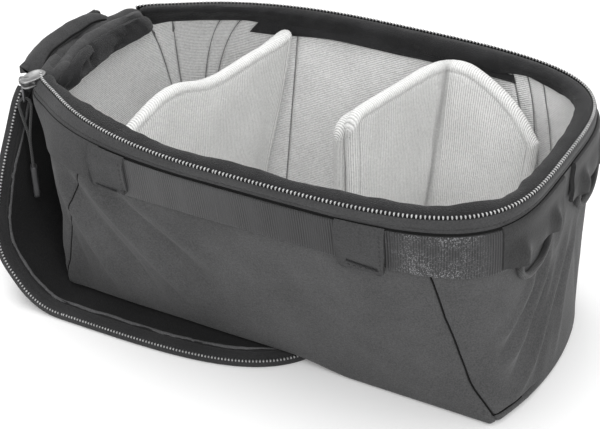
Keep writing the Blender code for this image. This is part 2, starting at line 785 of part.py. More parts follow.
def build_back_wing(slide, back_edge, far_face):
    """Back wing of the right divider, which leans on the back wall."""
    low_edge, low_height = back_edge[0]
    high_edge, high_height = back_edge[-1]
    lean = math.atan2(high_edge - low_edge, high_height - low_height)
    start = (far_face + fold_gap, low_edge - divider_thickness, divider_foot)
    holder = make_empty("right_back_wing_axis", slide, start)
    holder.rotation_mode = "QUATERNION"
    turn_back = Matrix.Rotation(-right_divider_turn + right_back_wing_turn, 4, "Z")
    lean_back = Matrix.Rotation(-lean, 4, "X")
    holder.rotation_quaternion = (lean_back @ turn_back).to_quaternion()
    length = right_back_wing_length
    chamfer = right_back_wing_chamfer
    height = (high_height - low_height) / math.cos(lean)
    points = [(wing_fold_gap, divider_edge_round), (length, divider_edge_round), (length, height - chamfer),
              (length - chamfer, height), (wing_fold_gap, height)]
    piece = divider_panel("right_divider_back_wing", points, holder, 0.0, divider_thickness)
    across = Matrix(((0.0, 1.0, 0.0, 0.0), (1.0, 0.0, 0.0, 0.0), (0.0, 0.0, 1.0, 0.0), (0.0, 0.0, 0.0, 1.0)))
    piece.data.transform(across)
    piece.data.flip_normals()


# Frame

def centre_on_ground(frame):
    """Sets the frame so that the part's box is centred on the world's origin."""
    bpy.context.view_layer.update()
    graph = bpy.context.evaluated_depsgraph_get()
    corners = []
    for piece in parts.objects:
        shape = piece.evaluated_get(graph)
        data = shape.to_mesh()
        corners += [piece.matrix_world @ vertex.co for vertex in data.vertices]
        shape.to_mesh_clear()
    middle = [(min(c[axis] for c in corners) + max(c[axis] for c in corners)) / 2 for axis in range(2)]
    frame.location = (-middle[0], -middle[1], -min(c.z for c in corners))


for stale in list(bpy.data.objects):
    bpy.data.objects.remove(stale)

parts = bpy.data.collections.new("camera_bag_insert")
scene_guides = bpy.data.collections.new("joint_axes")
bpy.context.scene.collection.children.link(parts)
bpy.context.scene.collection.children.link(scene_guides)

shell_cloth = make_material("charcoal shell cloth", (0.085, 0.085, 0.087), 0.85, 0.0)
webbing_cloth = make_material("ribbed webbing", (0.055, 0.055, 0.057), 0.75, 0.0)
zip_cloth = make_material("zip tape", (0.12, 0.12, 0.12), 0.8, 0.0)
teeth_metal = make_material("zip teeth", (0.42, 0.42, 0.41), 0.35, 0.8)
slider_metal = make_material("slider metal", (0.62, 0.61, 0.58), 0.3, 1.0)
guard_pile = make_material("dark guard pile", (0.03, 0.03, 0.031), 0.95, 0.0)
dark_lining = make_material("dark lid lining", (0.05, 0.05, 0.05), 0.9, 0.0)
pale_lining = make_material("pale loop lining", (0.63, 0.63, 0.62), 0.95, 0.0)
divider_cloth = make_material("pale divider cloth", (0.78, 0.78, 0.75), 0.95, 0.0)
foam = make_material("foam", (0.3, 0.3, 0.3), 1.0, 0.0)
cord_cover = make_material("dark cord", (0.02, 0.02, 0.021), 0.7, 0.0)
grip_rubber = make_material("pull grip", (0.18, 0.18, 0.18), 0.5, 0.0)

bag_frame = make_empty("bag_frame", None, (0.0, 0.0, 0.0))
build_walls(bag_frame)
build_base(bag_frame)
build_rim(bag_frame)
build_lid(bag_frame)
for wall_side, wall_sign in (("front", -1), ("back", 1)):
    build_webbing(bag_frame, wall_side, wall_sign)
    build_loop(bag_frame, wall_side, wall_sign)
build_slider(bag_frame)
build_left_divider(bag_frame)
build_right_divider(bag_frame)
centre_on_ground(bag_frame)
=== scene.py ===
import math

import bmesh
import bpy
import numpy as np
from mathutils import Matrix, Vector, noise


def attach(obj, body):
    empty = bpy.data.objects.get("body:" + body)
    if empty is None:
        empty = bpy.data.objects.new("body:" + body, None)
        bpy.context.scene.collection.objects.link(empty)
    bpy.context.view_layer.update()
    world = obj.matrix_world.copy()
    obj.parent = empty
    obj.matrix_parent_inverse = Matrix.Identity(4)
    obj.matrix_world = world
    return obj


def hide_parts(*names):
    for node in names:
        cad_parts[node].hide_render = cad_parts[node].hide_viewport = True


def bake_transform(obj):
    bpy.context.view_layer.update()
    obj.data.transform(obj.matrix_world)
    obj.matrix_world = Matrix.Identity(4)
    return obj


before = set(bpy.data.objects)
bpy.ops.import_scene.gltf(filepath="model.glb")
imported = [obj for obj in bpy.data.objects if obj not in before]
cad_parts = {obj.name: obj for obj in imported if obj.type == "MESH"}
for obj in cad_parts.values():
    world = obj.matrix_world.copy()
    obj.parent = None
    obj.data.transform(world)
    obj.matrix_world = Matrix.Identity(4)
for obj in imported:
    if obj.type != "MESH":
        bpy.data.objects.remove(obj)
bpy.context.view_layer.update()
print("frame loaded", len(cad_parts), "nodes")

# All sizes are in metres. The wall's outline and the lid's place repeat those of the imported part.
bag = dict(
    rimLength=0.300, rimWidth=0.186, height=0.128, baseLength=0.259, baseWidth=0.132, baseShift=0.0113,
    baseBoxiness=9.0, hingeBoxiness=2.15, farBoxiness=3.75, originX=0.001995, wallDepth=0.0088,
    baseLow=0.0050, floorTop=0.0132, panelTop=0.1192, zipStart=0.0440, flare=0.0042, flareTurn=152.0,
    flareWidth=8.5, flareFoot=0.098, flareRise=0.024)
quarter = math.pi / 2
upward = Vector((0.0, 0.0, 1.0))
baseCentre = Vector((bag["baseShift"] + bag["originX"], 0.0, 0.0))


def mix(low, high, share):
    return low + (high - low) * share


def ease(share):
    share = min(1.0, max(0.0, share))
    return share * share * (3 - 2 * share)


def spaced(start, finish, count):
    return [start + (finish - start) * index / count for index in range(count + 1)]


def pitched(start, finish, pitch, fewest=1):
    # spaced, with the count that comes closest to a pitch
    return spaced(start, finish, max(fewest, round(abs(finish - start) / pitch)))


def bell(gap, width):
    # 1 at no gap, next to nothing from twice the width
    return math.exp(-(gap / width) ** 2)


def arch(share):
    # a quarter round that rises from 0 at 0 to 1 at 1
    share = min(1.0, max(0.0, share))
    return math.sqrt(1 - (1 - share) ** 2)


def boxy(value, power):
    # the value raised to a power with its sign kept
    return math.copysign(abs(value) ** power, value)


def wavy(x, y, z):
    return noise.noise(Vector((x, y, z)))


def linked(name, data):
    # a new object in the scene
    piece = bpy.data.objects.new(name, data)
    bpy.context.scene.collection.objects.link(piece)
    return piece


# Camera: the photograph's angle
camera = dict(azimuth=29.78, elevation=33.02, roll=-1.69, distance=0.8432,
              target=(0.009020, -0.021800, 0.063555), lens=93.462, sensor=36.0)


def placeCamera():
    side, rise, roll = (math.radians(camera[key]) for key in ("azimuth", "elevation", "roll"))
    back = Vector((math.sin(side) * math.cos(rise), -math.cos(side) * math.cos(rise), math.sin(rise)))
    right = Vector((math.cos(side), math.sin(side), 0.0))
    up = back.cross(right)
    tiltedRight = right * math.cos(roll) + up * math.sin(roll)
    tiltedUp = up * math.cos(roll) - right * math.sin(roll)
    place = Vector(camera["target"]) + back * camera["distance"] + Vector((bag["originX"], 0.0, 0.0))
    data = bpy.data.cameras.new("photoCamera")
    data.lens = camera["lens"]
    data.sensor_width = camera["sensor"]
    data.clip_start = 0.01
    viewer = linked("photoCamera", data)
    turned = Matrix((tiltedRight, tiltedUp, back)).transposed().to_4x4()
    viewer.matrix_world = Matrix.Translation(place) @ turned
    bpy.context.scene.camera = viewer


placeCamera()

# Shaders


class Wire:
    # a socket whose operators add Math nodes
    def __init__(self, finish, socket):
        self.finish = finish
        self.socket = socket

    def maths(self, operation, *others, flip=False):
        values = [self, *others]
        if flip:
            values.reverse()
        return self.finish.node("ShaderNodeMath", dict(operation=operation), dict(enumerate(values)))

    def __add__(self, other):
        return self.maths("ADD", other)

    def __sub__(self, other):
        return self.maths("SUBTRACT", other)

    def __rsub__(self, other):
        return self.maths("SUBTRACT", other, flip=True)

    def __mul__(self, other):
        return self.maths("MULTIPLY", other)

    def __truediv__(self, other):
        return self.maths("DIVIDE", other)

    def __pow__(self, other):
        return self.maths("POWER", other)

    __radd__ = __add__
    __rmul__ = __mul__

    def sine(self):
        return self.maths("SINE")

    def size(self):
        return self.maths("ABSOLUTE")

    def clear(self, low, high):
        # 0 below low, 1 above high
        return self.finish.node("ShaderNodeMapRange", dict(interpolation_type="SMOOTHSTEP"),
                                {"Value": self, "From Min": low, "From Max": high})


class Finish:
    # one material and its nodes
    def __init__(self, name, colour, roughness=0.8, metallic=0.0, sheen=0.0, sheenRoughness=0.5,
                 specular=0.5):
        self.material = bpy.data.materials.new(name)
        self.material.use_nodes = True
        self.tree = self.material.node_tree
        self.shader = self.tree.nodes["Principled BSDF"]
        self.colour = colour
        self.set("Base Color", (*colour, 1.0))
        self.set("Roughness", roughness)
        self.set("Metallic", metallic)
        self.set("Sheen Weight", sheen)
        self.set("Sheen Roughness", sheenRoughness)
        self.set("Specular IOR Level", specular)

    def set(self, socket, value):
        if isinstance(value, Wire):
            self.tree.links.new(value.socket, self.shader.inputs[socket])
        else:
            self.shader.inputs[socket].default_value = value

    def node(self, kind, settings=None, values=None, out=0):
        made = self.tree.nodes.new(kind)
        for key, value in (settings or {}).items():
            if key == "stops":
                for stop, (place, shade) in zip(made.color_ramp.elements, value):
                    stop.position = place
                    stop.color = (*shade, 1.0)
            else:
                setattr(made, key, value)
        for key, value in (values or {}).items():
            if isinstance(value, Wire):
                self.tree.links.new(value.socket, made.inputs[key])
            else:
                made.inputs[key].default_value = value
        return Wire(self, made.outputs[out])

    def place(self, kind="Object"):
        return self.node("ShaderNodeTexCoord", out=kind)

    def across(self, where, axis):
        return self.node("ShaderNodeSeparateXYZ", None, {0: where}, out=axis)

    def blotches(self, where, scale, detail=3.0, rough=0.55):
        return self.node("ShaderNodeTexNoise", None,
                         {"Vector": where, "Scale": scale, "Detail": detail, "Roughness": rough})

    def stretched(self, where, scale):
        return self.node("ShaderNodeMapping", None, {"Vector": where, "Scale": scale})

    def tinted(self, share, low, high):
        return self.node("ShaderNodeMix", dict(data_type="RGBA"),
                         {0: share, 6: (*low, 1.0), 7: (*high, 1.0)}, out=2)

    def bump(self, height, distance, strength=1.0, over=None):
        values = {"Height": height, "Distance": distance, "Strength": strength}
        if over is not None:
            values["Normal"] = over
        return self.node("ShaderNodeBump", None, values)


def shaded(colour, factor):
    return tuple(part * factor for part in colour)


def weave(finish, pitch, uv):
    # plain weave: threads that rise and dip in turn, on a UV map in metres
    along = finish.across(uv, "X") * (math.pi / pitch)
    across = finish.across(uv, "Y") * (math.pi / pitch)
    crossing = (along * 0.5).sine() * (across * 0.5).sine()
    return along.sine().size() * 0.5 + across.sine().size() * 0.5 + crossing * 0.35


def wovenCloth(name, colour, pitch, roughness, sheen, contrast=0.40, bumpDepth=0.00022):
    finish = Finish(name, colour, roughness, sheen=sheen, specular=0.25)
    uv = finish.place("UV")
    here = finish.place("Object")
    threads = weave(finish, pitch, uv)
    slubs = finish.blotches(here, 1250.0, 2.0)
    worn = finish.blotches(here, 26.0, 4.0)
    shade = slubs * 0.75 + worn * 0.45
    finish.set("Base Color", finish.tinted(shade.clear(0.30, 0.90), shaded(colour, 1 - contrast),
                                           shaded(colour, 1 + contrast)))
    finish.set("Roughness", roughness - 0.12 * worn)
    fine = finish.bump(threads * 0.12 + slubs, bumpDepth)
    finish.set("Normal", finish.bump(worn, 0.0006, 0.5, over=fine))
    return finish.material


def ribbedCloth(name, colour, farColour, pitch, roughness, sheen, glints):
    # ribs that run across a strip, darker towards the far end, with painted glints there: light specks
    # painted into the colour in place of light caught by the threads
    finish = Finish(name, colour, roughness, sheen=sheen, specular=0.35)
    uv = finish.place("UV")
    ribs = (finish.across(uv, "X") * (math.pi / pitch)).sine().size()
    specks = finish.node("ShaderNodeTexVoronoi", None, {"Vector": uv, "Scale": 1200.0})
    patch = finish.blotches(finish.place("Object"), 60.0, 3.0)
    far = finish.across(finish.place("Object"), "X")
    # painted highlights: a patch of specks towards the far end, nine times the far colour
    paintedGlints = (1 - specks.clear(0.10, 0.55)) * patch.clear(0.30, 0.62) * glints
    paintedGlints = paintedGlints * far.clear(0.080, 0.112) * (1 - far.clear(0.126, 0.146))
    shade = (ribs * 0.7 + patch * 0.3).clear(0.1, 0.9)
    near = finish.tinted(shade, shaded(colour, 0.74), shaded(colour, 1.18))
    dark = finish.tinted(shade, shaded(farColour, 0.45), shaded(farColour, 1.45))
    base = finish.node("ShaderNodeMix", dict(data_type="RGBA"),
                       {0: far.clear(-0.05, 0.06), 6: near, 7: dark}, out=2)
    bright = finish.node("ShaderNodeMix", dict(data_type="RGBA"),
                         {0: paintedGlints, 6: base, 7: (*shaded(farColour, 9.0), 1.0)}, out=2)
    finish.set("Base Color", bright)
    finish.set("Normal", finish.bump(ribs + specks * 0.3, 0.00012))
    return finish.material


def pileCloth(name, colour, grain, roughness, sheen, ribs=0.0, ribAxis="Y", contrast=0.2,
              depth=0.0005, gather=0.25):
    # brushed loops: a fine grain over broad, softly matted patches, with knitted rows where ribs is given
    finish = Finish(name, colour, roughness, sheen=sheen, sheenRoughness=0.4, specular=0.2)
    here = finish.place("Object")
    loops = finish.blotches(here, grain, 2.0, 0.7)
    matted = finish.blotches(here, grain / 22, 3.0)
    shade = loops * (1 - gather) + matted * gather
    height = loops + matted * 0.5
    if ribs:
        rows = (finish.across(finish.place("UV"), ribAxis) * (math.pi / ribs)).sine().size()
        shade = shade * 0.7 + rows * 0.3
        height = height + rows * 0.8
    finish.set("Base Color", finish.tinted(shade.clear(0.22, 0.80), shaded(colour, 1 - contrast),
                                           shaded(colour, 1 + contrast * 0.7)))
    finish.set("Normal", finish.bump(height, depth))
    return finish.material


def brushedMetal(name, colour, roughness, wear):
    finish = Finish(name, colour, roughness, metallic=1.0)
    here = finish.place("Object")
    brushed = finish.blotches(finish.stretched(here, (300.0, 2600.0, 900.0)), 1.0, 3.0)
    rubbed = finish.blotches(here, 240.0, 3.0)
    finish.set("Roughness", roughness + brushed * wear)
    finish.set("Base Color", finish.tinted(rubbed.clear(0.3, 0.7), shaded(colour, 0.72), colour))
    finish.set("Normal", finish.bump(brushed, 0.00005))
    return finish.material


def mouldedRubber(name, colour, roughness):
    finish = Finish(name, colour, roughness, specular=0.4)
    here = finish.place("Object")
    grain = finish.blotches(here, 1800.0, 2.0)
    handled = finish.blotches(here, 120.0, 3.0)
    finish.set("Base Color", finish.tinted(handled.clear(0.3, 0.75), shaded(colour, 0.8),
                                           shaded(colour, 1.3)))
    finish.set("Roughness", roughness - handled * 0.15)
    finish.set("Normal", finish.bump(grain, 0.00008))
    return finish.material


def braidedCord(name, colour, pitch):
    # two crossing sets of slanting strands on a UV map that runs round and along the cord
    finish = Finish(name, colour, 0.75, sheen=0.25)
    uv = finish.place("UV")
    around, along = finish.across(uv, "X"), finish.across(uv, "Y")
    first = ((along + around) * (math.pi / pitch)).sine().size()
    second = ((along - around) * (math.pi / pitch)).sine().size()
    strands = first * second
    finish.set("Base Color", finish.tinted(strands.clear(0.1, 0.8), shaded(colour, 0.5),
                                           shaded(colour, 1.6)))
    finish.set("Normal", finish.bump(strands, 0.00025))
    return finish.material


charcoal = (0.064, 0.064, 0.065)
finishes = dict(
    shell=wovenCloth("shellWeave", charcoal, 0.0007, 0.86, 0.10),
    tape=wovenCloth("tapeWeave", (0.043, 0.043, 0.044), 0.0009, 0.80, 0.10),
    # the hinge crest's cloth, darker than the tape: painted shade over the crest
    crestShadedCloth=wovenCloth("crestPaintedShade", (0.038, 0.038, 0.039), 0.0009, 0.85, 0.08),
    # the lid's zip tape, darker than the rim's tape: painted shade where the lid hangs in shadow
    lidTape=wovenCloth("lidTapePaintedShade", (0.028, 0.028, 0.029), 0.0009, 0.82, 0.08),
    # the lid panel's welt, lighter than the shell: painted highlight along the ridge
    piping=wovenCloth("pipingPaintedHighlight", (0.090, 0.090, 0.092), 0.0008, 0.75, 0.12),
    webbing=ribbedCloth("webbingRibs", (0.058, 0.058, 0.059), (0.028, 0.028, 0.029), 0.00140, 0.55,
                        0.10, 1.0),
    guard=pileCloth("guardVelvet", (0.022, 0.022, 0.023), 1500.0, 0.95, 0.17, contrast=0.45,
                    gather=0.55, depth=0.0007),
    # the lid's outer cover: its charcoal cloth painted near black, painted shade for where the lid hangs in
    # shadow beside the bag
    lidCoverShaded=wovenCloth("lidPanelPaintedShade", (0.012, 0.012, 0.0125), 0.0008, 0.80, 0.05),
    lidInside=pileCloth("lidLiningPile", (0.042, 0.042, 0.043), 1300.0, 0.95, 0.12, contrast=0.3),
    pale=pileCloth("paleLoops", (0.80, 0.80, 0.795), 800.0, 0.95, 0.15, ribs=0.0011, contrast=0.32,
                   gather=0.3),
    divider=pileCloth("dividerLoops", (0.78, 0.78, 0.77), 850.0, 0.95, 0.15, ribs=0.0014, ribAxis="X",
                      contrast=0.24, gather=0.25),
    teeth=brushedMetal("toothMetal", (0.55, 0.55, 0.55), 0.42, 0.15),
    slider=brushedMetal("sliderMetal", (0.38, 0.38, 0.38), 0.36, 0.22),
    ring=brushedMetal("ringMetal", (0.16, 0.16, 0.165), 0.34, 0.20),
    grip=mouldedRubber("gripRubber", (0.040, 0.040, 0.042), 0.42),
    cord=braidedCord("cordBraid", (0.012, 0.012, 0.0125), 0.001131),
    fineCord=braidedCord("fineCordBraid", (0.028, 0.028, 0.029), 0.000503),
    thread=pileCloth("sewingThread", (0.022, 0.022, 0.023), 2600.0, 0.80, 0.1),
    seam=pileCloth("seamShadowThread", (0.008, 0.008, 0.008), 2600.0, 0.90, 0.0),
    tabs=wovenCloth("tabWeave", (0.044, 0.044, 0.045), 0.0007, 0.84, 0.10),
    endTab=wovenCloth("endTabWeave", (0.030, 0.030, 0.0305), 0.0007, 0.78, 0.10),
    # darker lines along the pale lining's seams: painted shade in the seams' grooves
    liningSeamShadow=pileCloth("liningSeamShadow", (0.24, 0.24, 0.24), 2600.0, 0.90, 0.0))

# Floor, backdrop and lamps
stage = dict(floorSize=9.0, floorColour=0.92, floorDrop=0.0002, lift=0.10, world=0.72)


def buildStage():
    mesh = bmesh.new()
    bmesh.ops.create_grid(mesh, x_segments=1, y_segments=1, size=stage["floorSize"])
    bmesh.ops.translate(mesh, vec=(0.0, 0.0, -stage["floorDrop"]), verts=mesh.verts[:])
    data = bpy.data.meshes.new("studioFloor")
    mesh.to_mesh(data)
    mesh.free()
    floor = Finish("studioFloorPaint", (stage["floorColour"],) * 3, 1.0, specular=0.0)
    rays = floor.node("ShaderNodeLightPath", out="Is Camera Ray")
    floor.set("Emission Color", floor.tinted(rays, (0.0, 0.0, 0.0), (1.0, 1.0, 1.0)))
    floor.set("Emission Strength", stage["lift"])
    data.materials.append(floor.material)
    linked("studioFloor", data)


def buildWorld():
    world = bpy.data.worlds.new("studioWorld")
    bpy.context.scene.world = world
    world.use_nodes = True
    nodes, links = world.node_tree.nodes, world.node_tree.links
    soft = nodes["Background"]
    soft.inputs["Color"].default_value = (1.0, 1.0, 1.0, 1.0)
    soft.inputs["Strength"].default_value = stage["world"]
    white = nodes.new("ShaderNodeBackground")
    white.inputs["Strength"].default_value = 1.0
    path = nodes.new("ShaderNodeLightPath")
    seen = nodes.new("ShaderNodeMath")
    seen.operation = "MAXIMUM"
    links.new(path.outputs["Is Camera Ray"], seen.inputs[0])
    links.new(path.outputs["Is Transmission Ray"], seen.inputs[1])
    chosen = nodes.new("ShaderNodeMixShader")
    links.new(seen.outputs[0], chosen.inputs[0])
    links.new(soft.outputs[0], chosen.inputs[1])
    links.new(white.outputs[0], chosen.inputs[2])
    links.new(chosen.outputs[0], nodes["World Output"].inputs["Surface"])


def addLamp(name, place, aim, size, power):
    data = bpy.data.lights.new(name, "AREA")
    data.shape = "DISK"
    data.size = size
    data.energy = power
    lamp = linked(name, data)
    lamp.location = place
    lamp.rotation_mode = "QUATERNION"
    lamp.rotation_quaternion = (Vector(aim) - Vector(place)).to_track_quat("-Z", "Y")


buildStage()
buildWorld()
bagMiddle = (0.0, 0.0, 0.05)
addLamp("topLamp", (-0.25, 0.20, 1.5), bagMiddle, 1.3, 14.0)
addLamp("keyLamp", (0.9, -1.0, 1.1), bagMiddle, 0.9, 10.0)
bpy.context.scene.view_settings.view_transform = "Standard"

# Wall outline


def outlineShape(farSide, height):
    share = height / bag["height"]
    reach = bag["baseLength"] / 2 + (bag["baseShift"] if farSide else -bag["baseShift"])
    boxiness = bag["farBoxiness"] if farSide else bag["hingeBoxiness"]
    return (mix(reach, bag["rimLength"] / 2, share), mix(bag["baseWidth"] / 2, bag["rimWidth"] / 2, share),
            mix(bag["baseBoxiness"], boxiness, share))


def zipFlare(turn, height):
    # at its start the zip stands out to meet the slider
    here = bell(math.degrees(abs(turn)) - bag["flareTurn"], bag["flareWidth"])
    return bag["flare"] * here * ease((height - bag["flareFoot"]) / bag["flareRise"])


def wallPlace(turn, height):
    # point on the outer face, and the outward direction there
    reach, halfWidth, power = outlineShape(math.cos(turn) > 0, height)
    along = boxy(math.cos(turn), 2 / power)
    across = boxy(math.sin(turn), 2 / power)
    outward = Vector((boxy(along, power - 1) / reach, boxy(across, power - 1) / halfWidth, 0.0)).normalized()
    point = Vector((reach * along + bag["originX"], halfWidth * across, height))
    return point + outward * zipFlare(turn, height), outward


def wallPoint(turn, height, depth):
    point, outward = wallPlace(turn, height)
    return point - outward * depth


def lengthsAlong(path):
    # the length from the path's start to each of its points
    lengths = [0.0]
    for near, far in zip(path, path[1:]):
        lengths.append(lengths[-1] + (far - near).length)
    return lengths


roundTables = {}


def roundTable(height):
    # turns and lengths round the outline at a height, from the hinge's middle through the front
    key = round(height, 5)
    if key not in roundTables:
        steps = 72
        turns = []
        for part in range(4):
            bend = outlineShape(part in (1, 2), height)[2] / 2
            for step in range(steps):
                share = step / steps
                turns.append((part - 2 + share ** bend / (share ** bend + (1 - share) ** bend)) * quarter)
        turns.append(2 * quarter)
        points = [wallPlace(turn, height)[0] for turn in turns]
        roundTables[key] = (np.array(turns), np.array(lengthsAlong(points)))
    return roundTables[key]


def turnAt(height, length):
    turns, lengths = roundTable(height)
    return float(np.interp(length % lengths[-1], lengths, turns))


def lengthAt(height, turn):
    turns, lengths = roundTable(height)
    return float(np.interp(turn, turns, lengths))


def turnAtX(x, height):
    # turn on the back side at which the outline passes x, in the frame's own place
    x = x - bag["originX"]
    reach, _, power = outlineShape(x > 0, height)
    return math.acos(math.copysign(min(1.0, abs(x) / reach) ** (power / 2), x))


def turnAtY(y, height):
    _, halfWidth, power = outlineShape(True, height)
    return math.asin((y / halfWidth) ** (power / 2))


def turnAtReach(reach):
    return math.pi - math.asin((reach / (bag["rimWidth"] / 2)) ** (bag["hingeBoxiness"] / 2))


# Creases pressed into the outer cloth: start, finish, half width, height
creases = (
    ((-0.106, -0.077, 0.086), (-0.074, -0.070, 0.016), 0.0050, 0.0040),
    ((-0.095, -0.078, 0.088), (-0.052, -0.073, 0.020), 0.0042, -0.0036),
    ((-0.082, -0.081, 0.090), (-0.030, -0.073, 0.028), 0.0048, 0.0042),
    ((-0.066, -0.083, 0.090), (-0.020, -0.077, 0.050), 0.0044, -0.0030),
    ((-0.052, -0.084, 0.088), (-0.006, -0.079, 0.056), 0.0050, 0.0020),
    ((-0.112, -0.072, 0.070), (-0.100, -0.066, 0.014), 0.0040, -0.0018),
    ((0.060, -0.080, 0.040), (0.104, -0.072, 0.014), 0.0060, 0.0010),
    ((0.148, -0.034, 0.074), (0.143, -0.060, 0.050), 0.0028, 0.0022),
    ((0.148, -0.024, 0.074), (0.144, -0.057, 0.041), 0.0028, -0.0019),
    ((0.148, -0.014, 0.074), (0.144, -0.054, 0.033), 0.0030, 0.0027),
    ((0.148, -0.004, 0.070), (0.144, -0.050, 0.022), 0.0030, -0.0021),
    ((0.148, 0.010, 0.066), (0.143, -0.046, 0.010), 0.0032, 0.0027),
    ((0.148, 0.020, 0.060), (0.143, -0.030, 0.010), 0.0034, -0.0018),
    ((0.148, 0.006, 0.088), (0.145, -0.016, 0.050), 0.0034, 0.0018),
    ((0.148, 0.030, 0.070), (0.143, -0.006, 0.014), 0.0038, 0.0018),
    ((0.146, 0.030, 0.088), (0.142, 0.036, 0.020), 0.0038, -0.0014),
    ((0.146, 0.042, 0.084), (0.140, 0.052, 0.024), 0.0036, 0.0014),
    ((0.070, 0.086, 0.086), (0.110, 0.071, 0.020), 0.0060, 0.0012),
    ((0.040, 0.087, 0.086), (0.086, 0.073, 0.020), 0.0060, -0.0010),
    ((-0.020, 0.086, 0.086), (0.030, 0.074, 0.020), 0.0065, 0.0012),
    ((-0.078, 0.081, 0.088), (-0.030, 0.072, 0.022), 0.0060, -0.0010),
    ((-0.140, 0.000, 0.104), (-0.123, -0.052, 0.024), 0.0055, 0.0016),
    ((-0.138, 0.020, 0.100), (-0.121, -0.020, 0.020), 0.0055, -0.0014),
    ((-0.135, 0.036, 0.100), (-0.121, 0.012, 0.020), 0.0060, 0.0012))
creaseEnds = [(Vector(start), Vector(finish) - Vector(start), width, lift)
              for start, finish, width, lift in creases]


def wallSwell(point):
    # how far the cloth stands proud of the drawn wall, with its creases and a slow waviness
    lift = 0.0
    for start, run, width, rise in creaseEnds:
        share = (point - start).dot(run) / run.length_squared
        if -0.25 < share < 1.25:
            gap = (point - start - run * share).length
            if gap < 3 * width:
                fade = ease((share + 0.25) / 0.4) * ease((1.25 - share) / 0.5)
                lift += rise * fade * bell(gap, width)
    lift += 0.0007 * noise.noise(point * 34.0)
    return lift * ease((0.100 - point.z) / 0.016) * ease((point.z - 0.001) / 0.012)


def edgeLow(x):
    # the base rests on the tucked lid, then sinks to the ground
    return bag["baseLow"] * (1 - ease((x - 0.030) / 0.036))


# Lofts


def finished(mesh, name, material, smooth=35.0):
    bmesh.ops.recalc_face_normals(mesh, faces=mesh.faces[:])
    if mesh.calc_volume(signed=True) < 0:
        bmesh.ops.reverse_faces(mesh, faces=mesh.faces[:])
    data = bpy.data.meshes.new(name)
    mesh.to_mesh(data)
    mesh.free()
    data.materials.append(finishes[material])
    data.shade_smooth()
    if smooth:
        data.set_sharp_from_angle(angle=math.radians(smooth))
    return linked(name, data)


def loft(name, columns, rows, place, material, ringed=False, smooth=35.0, closed=True):
    # a grid whose corners place(column, row) sets; the section is closed, and the path too where ringed
    mesh = bmesh.new()
    layer = mesh.loops.layers.uv.new("UVMap")
    bmesh.ops.create_grid(mesh, x_segments=columns, y_segments=rows, size=0.5, calc_uvs=True)
    points = [[None] * (rows + 1) for _ in range(columns + 1)]
    for corner in mesh.verts:
        column = round((corner.co.x + 0.5) * columns)
        row = round((corner.co.y + 0.5) * rows)
        points[column][row] = corner
    for column in range(columns + 1):
        for row in range(rows + 1):
            whereColumn = 0 if ringed and column == columns else column
            whereRow = 0 if closed and row == rows else row
            points[column][row].co = place(whereColumn, whereRow)
    # the UV map is in metres, along by the longest of three lines and around by the middle one
    along = [0.0]
    for near, far in zip(points, points[1:]):
        steps = [(far[row].co - near[row].co).length for row in (0, rows // 3, 2 * rows // 3)]
        along.append(along[-1] + max(steps))
    around = lengthsAlong([corner.co for corner in points[columns // 2]])
    for face in mesh.faces:
        for loop in face.loops:
            spot = loop[layer].uv
            loop[layer].uv = (along[round(spot.x * columns)], around[round(spot.y * rows)])
    bmesh.ops.remove_doubles(mesh, verts=mesh.verts[:], dist=1e-6)
    rims = [edge for edge in mesh.edges if edge.is_boundary]
    if rims and closed:
        bmesh.ops.holes_fill(mesh, edges=rims, sides=0)
    return finished(mesh, name, material, smooth)


def lined(name, lines, material, ringed=False, smooth=60.0, closed=True):
    # a loft through ready lines of points
    columns = len(lines) if ringed else len(lines) - 1
    rows = len(lines[0]) if closed else len(lines[0]) - 1
    return loft(name, columns, rows, lambda column, row: lines[column][row], material, ringed, smooth, closed)


def rimTurn(length):
    return turnAt(bag["height"], length)


def onWall(length, height, depth):
    # a point on the wall from its length round the rim
    return wallPoint(rimTurn(length), height, depth)


def dress(piece, body, slot, *nodes, fill=None):
    # body is one body's name, or two names with the start and the end of a bend between them; for two names
    # the piece is only fixed in place, and the names and the bend are not used
    if isinstance(body, str):
        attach(piece, body)
    else:
        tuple(body[2])
        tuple(body[3])
        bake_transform(piece)
    if nodes:
        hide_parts(*nodes)
    return piece


def curved(knots, steps):
    # a smooth path through the knots
    ends = [knots[0] * 2 - knots[1], *knots, knots[-1] * 2 - knots[-2]]
    path = []
    for before, start, finish, after in zip(ends, ends[1:], ends[2:], ends[3:]):
        for share in spaced(0.0, 1.0, steps)[:-1]:
            path.append(0.5 * (2 * start + (finish - before) * share
                               + (2 * before - 5 * start + 4 * finish - after) * share ** 2
                               + (3 * start - before - 3 * finish + after) * share ** 3))
    return path + [knots[-1].copy()]


def evenly(path, count):
    # the same path with its points spaced evenly
    lengths = lengthsAlong(path)
    wanted = np.linspace(0.0, lengths[-1], count + 1)
    axes = [np.interp(wanted, lengths, [point[axis] for point in path]) for axis in range(3)]
    return [Vector(point) for point in zip(*axes)]


def tube(name, path, radius, sides, material):
    # a round cord: a ring of points carried along the path without twist
    rings = []
    side = None
    for index, point in enumerate(path):
        run = (path[min(index + 1, len(path) - 1)] - path[max(index - 1, 0)]).normalized()
        side = run.orthogonal() if side is None else side
        side = (side - run * side.dot(run)).normalized()
        other = run.cross(side)
        rings.append([point + (side * math.cos(turn) + other * math.sin(turn)) * radius
                      for turn in spaced(0.0, 2 * math.pi, sides)[:-1]])
    return lined(name, rings, material)


def thread(name, path, radius, slot="shell_cloth", material="seam", body="bag"):
    # a fine cord or the shadow line of a seam
    return dress(tube(name, path, radius, 8, material), body, slot)


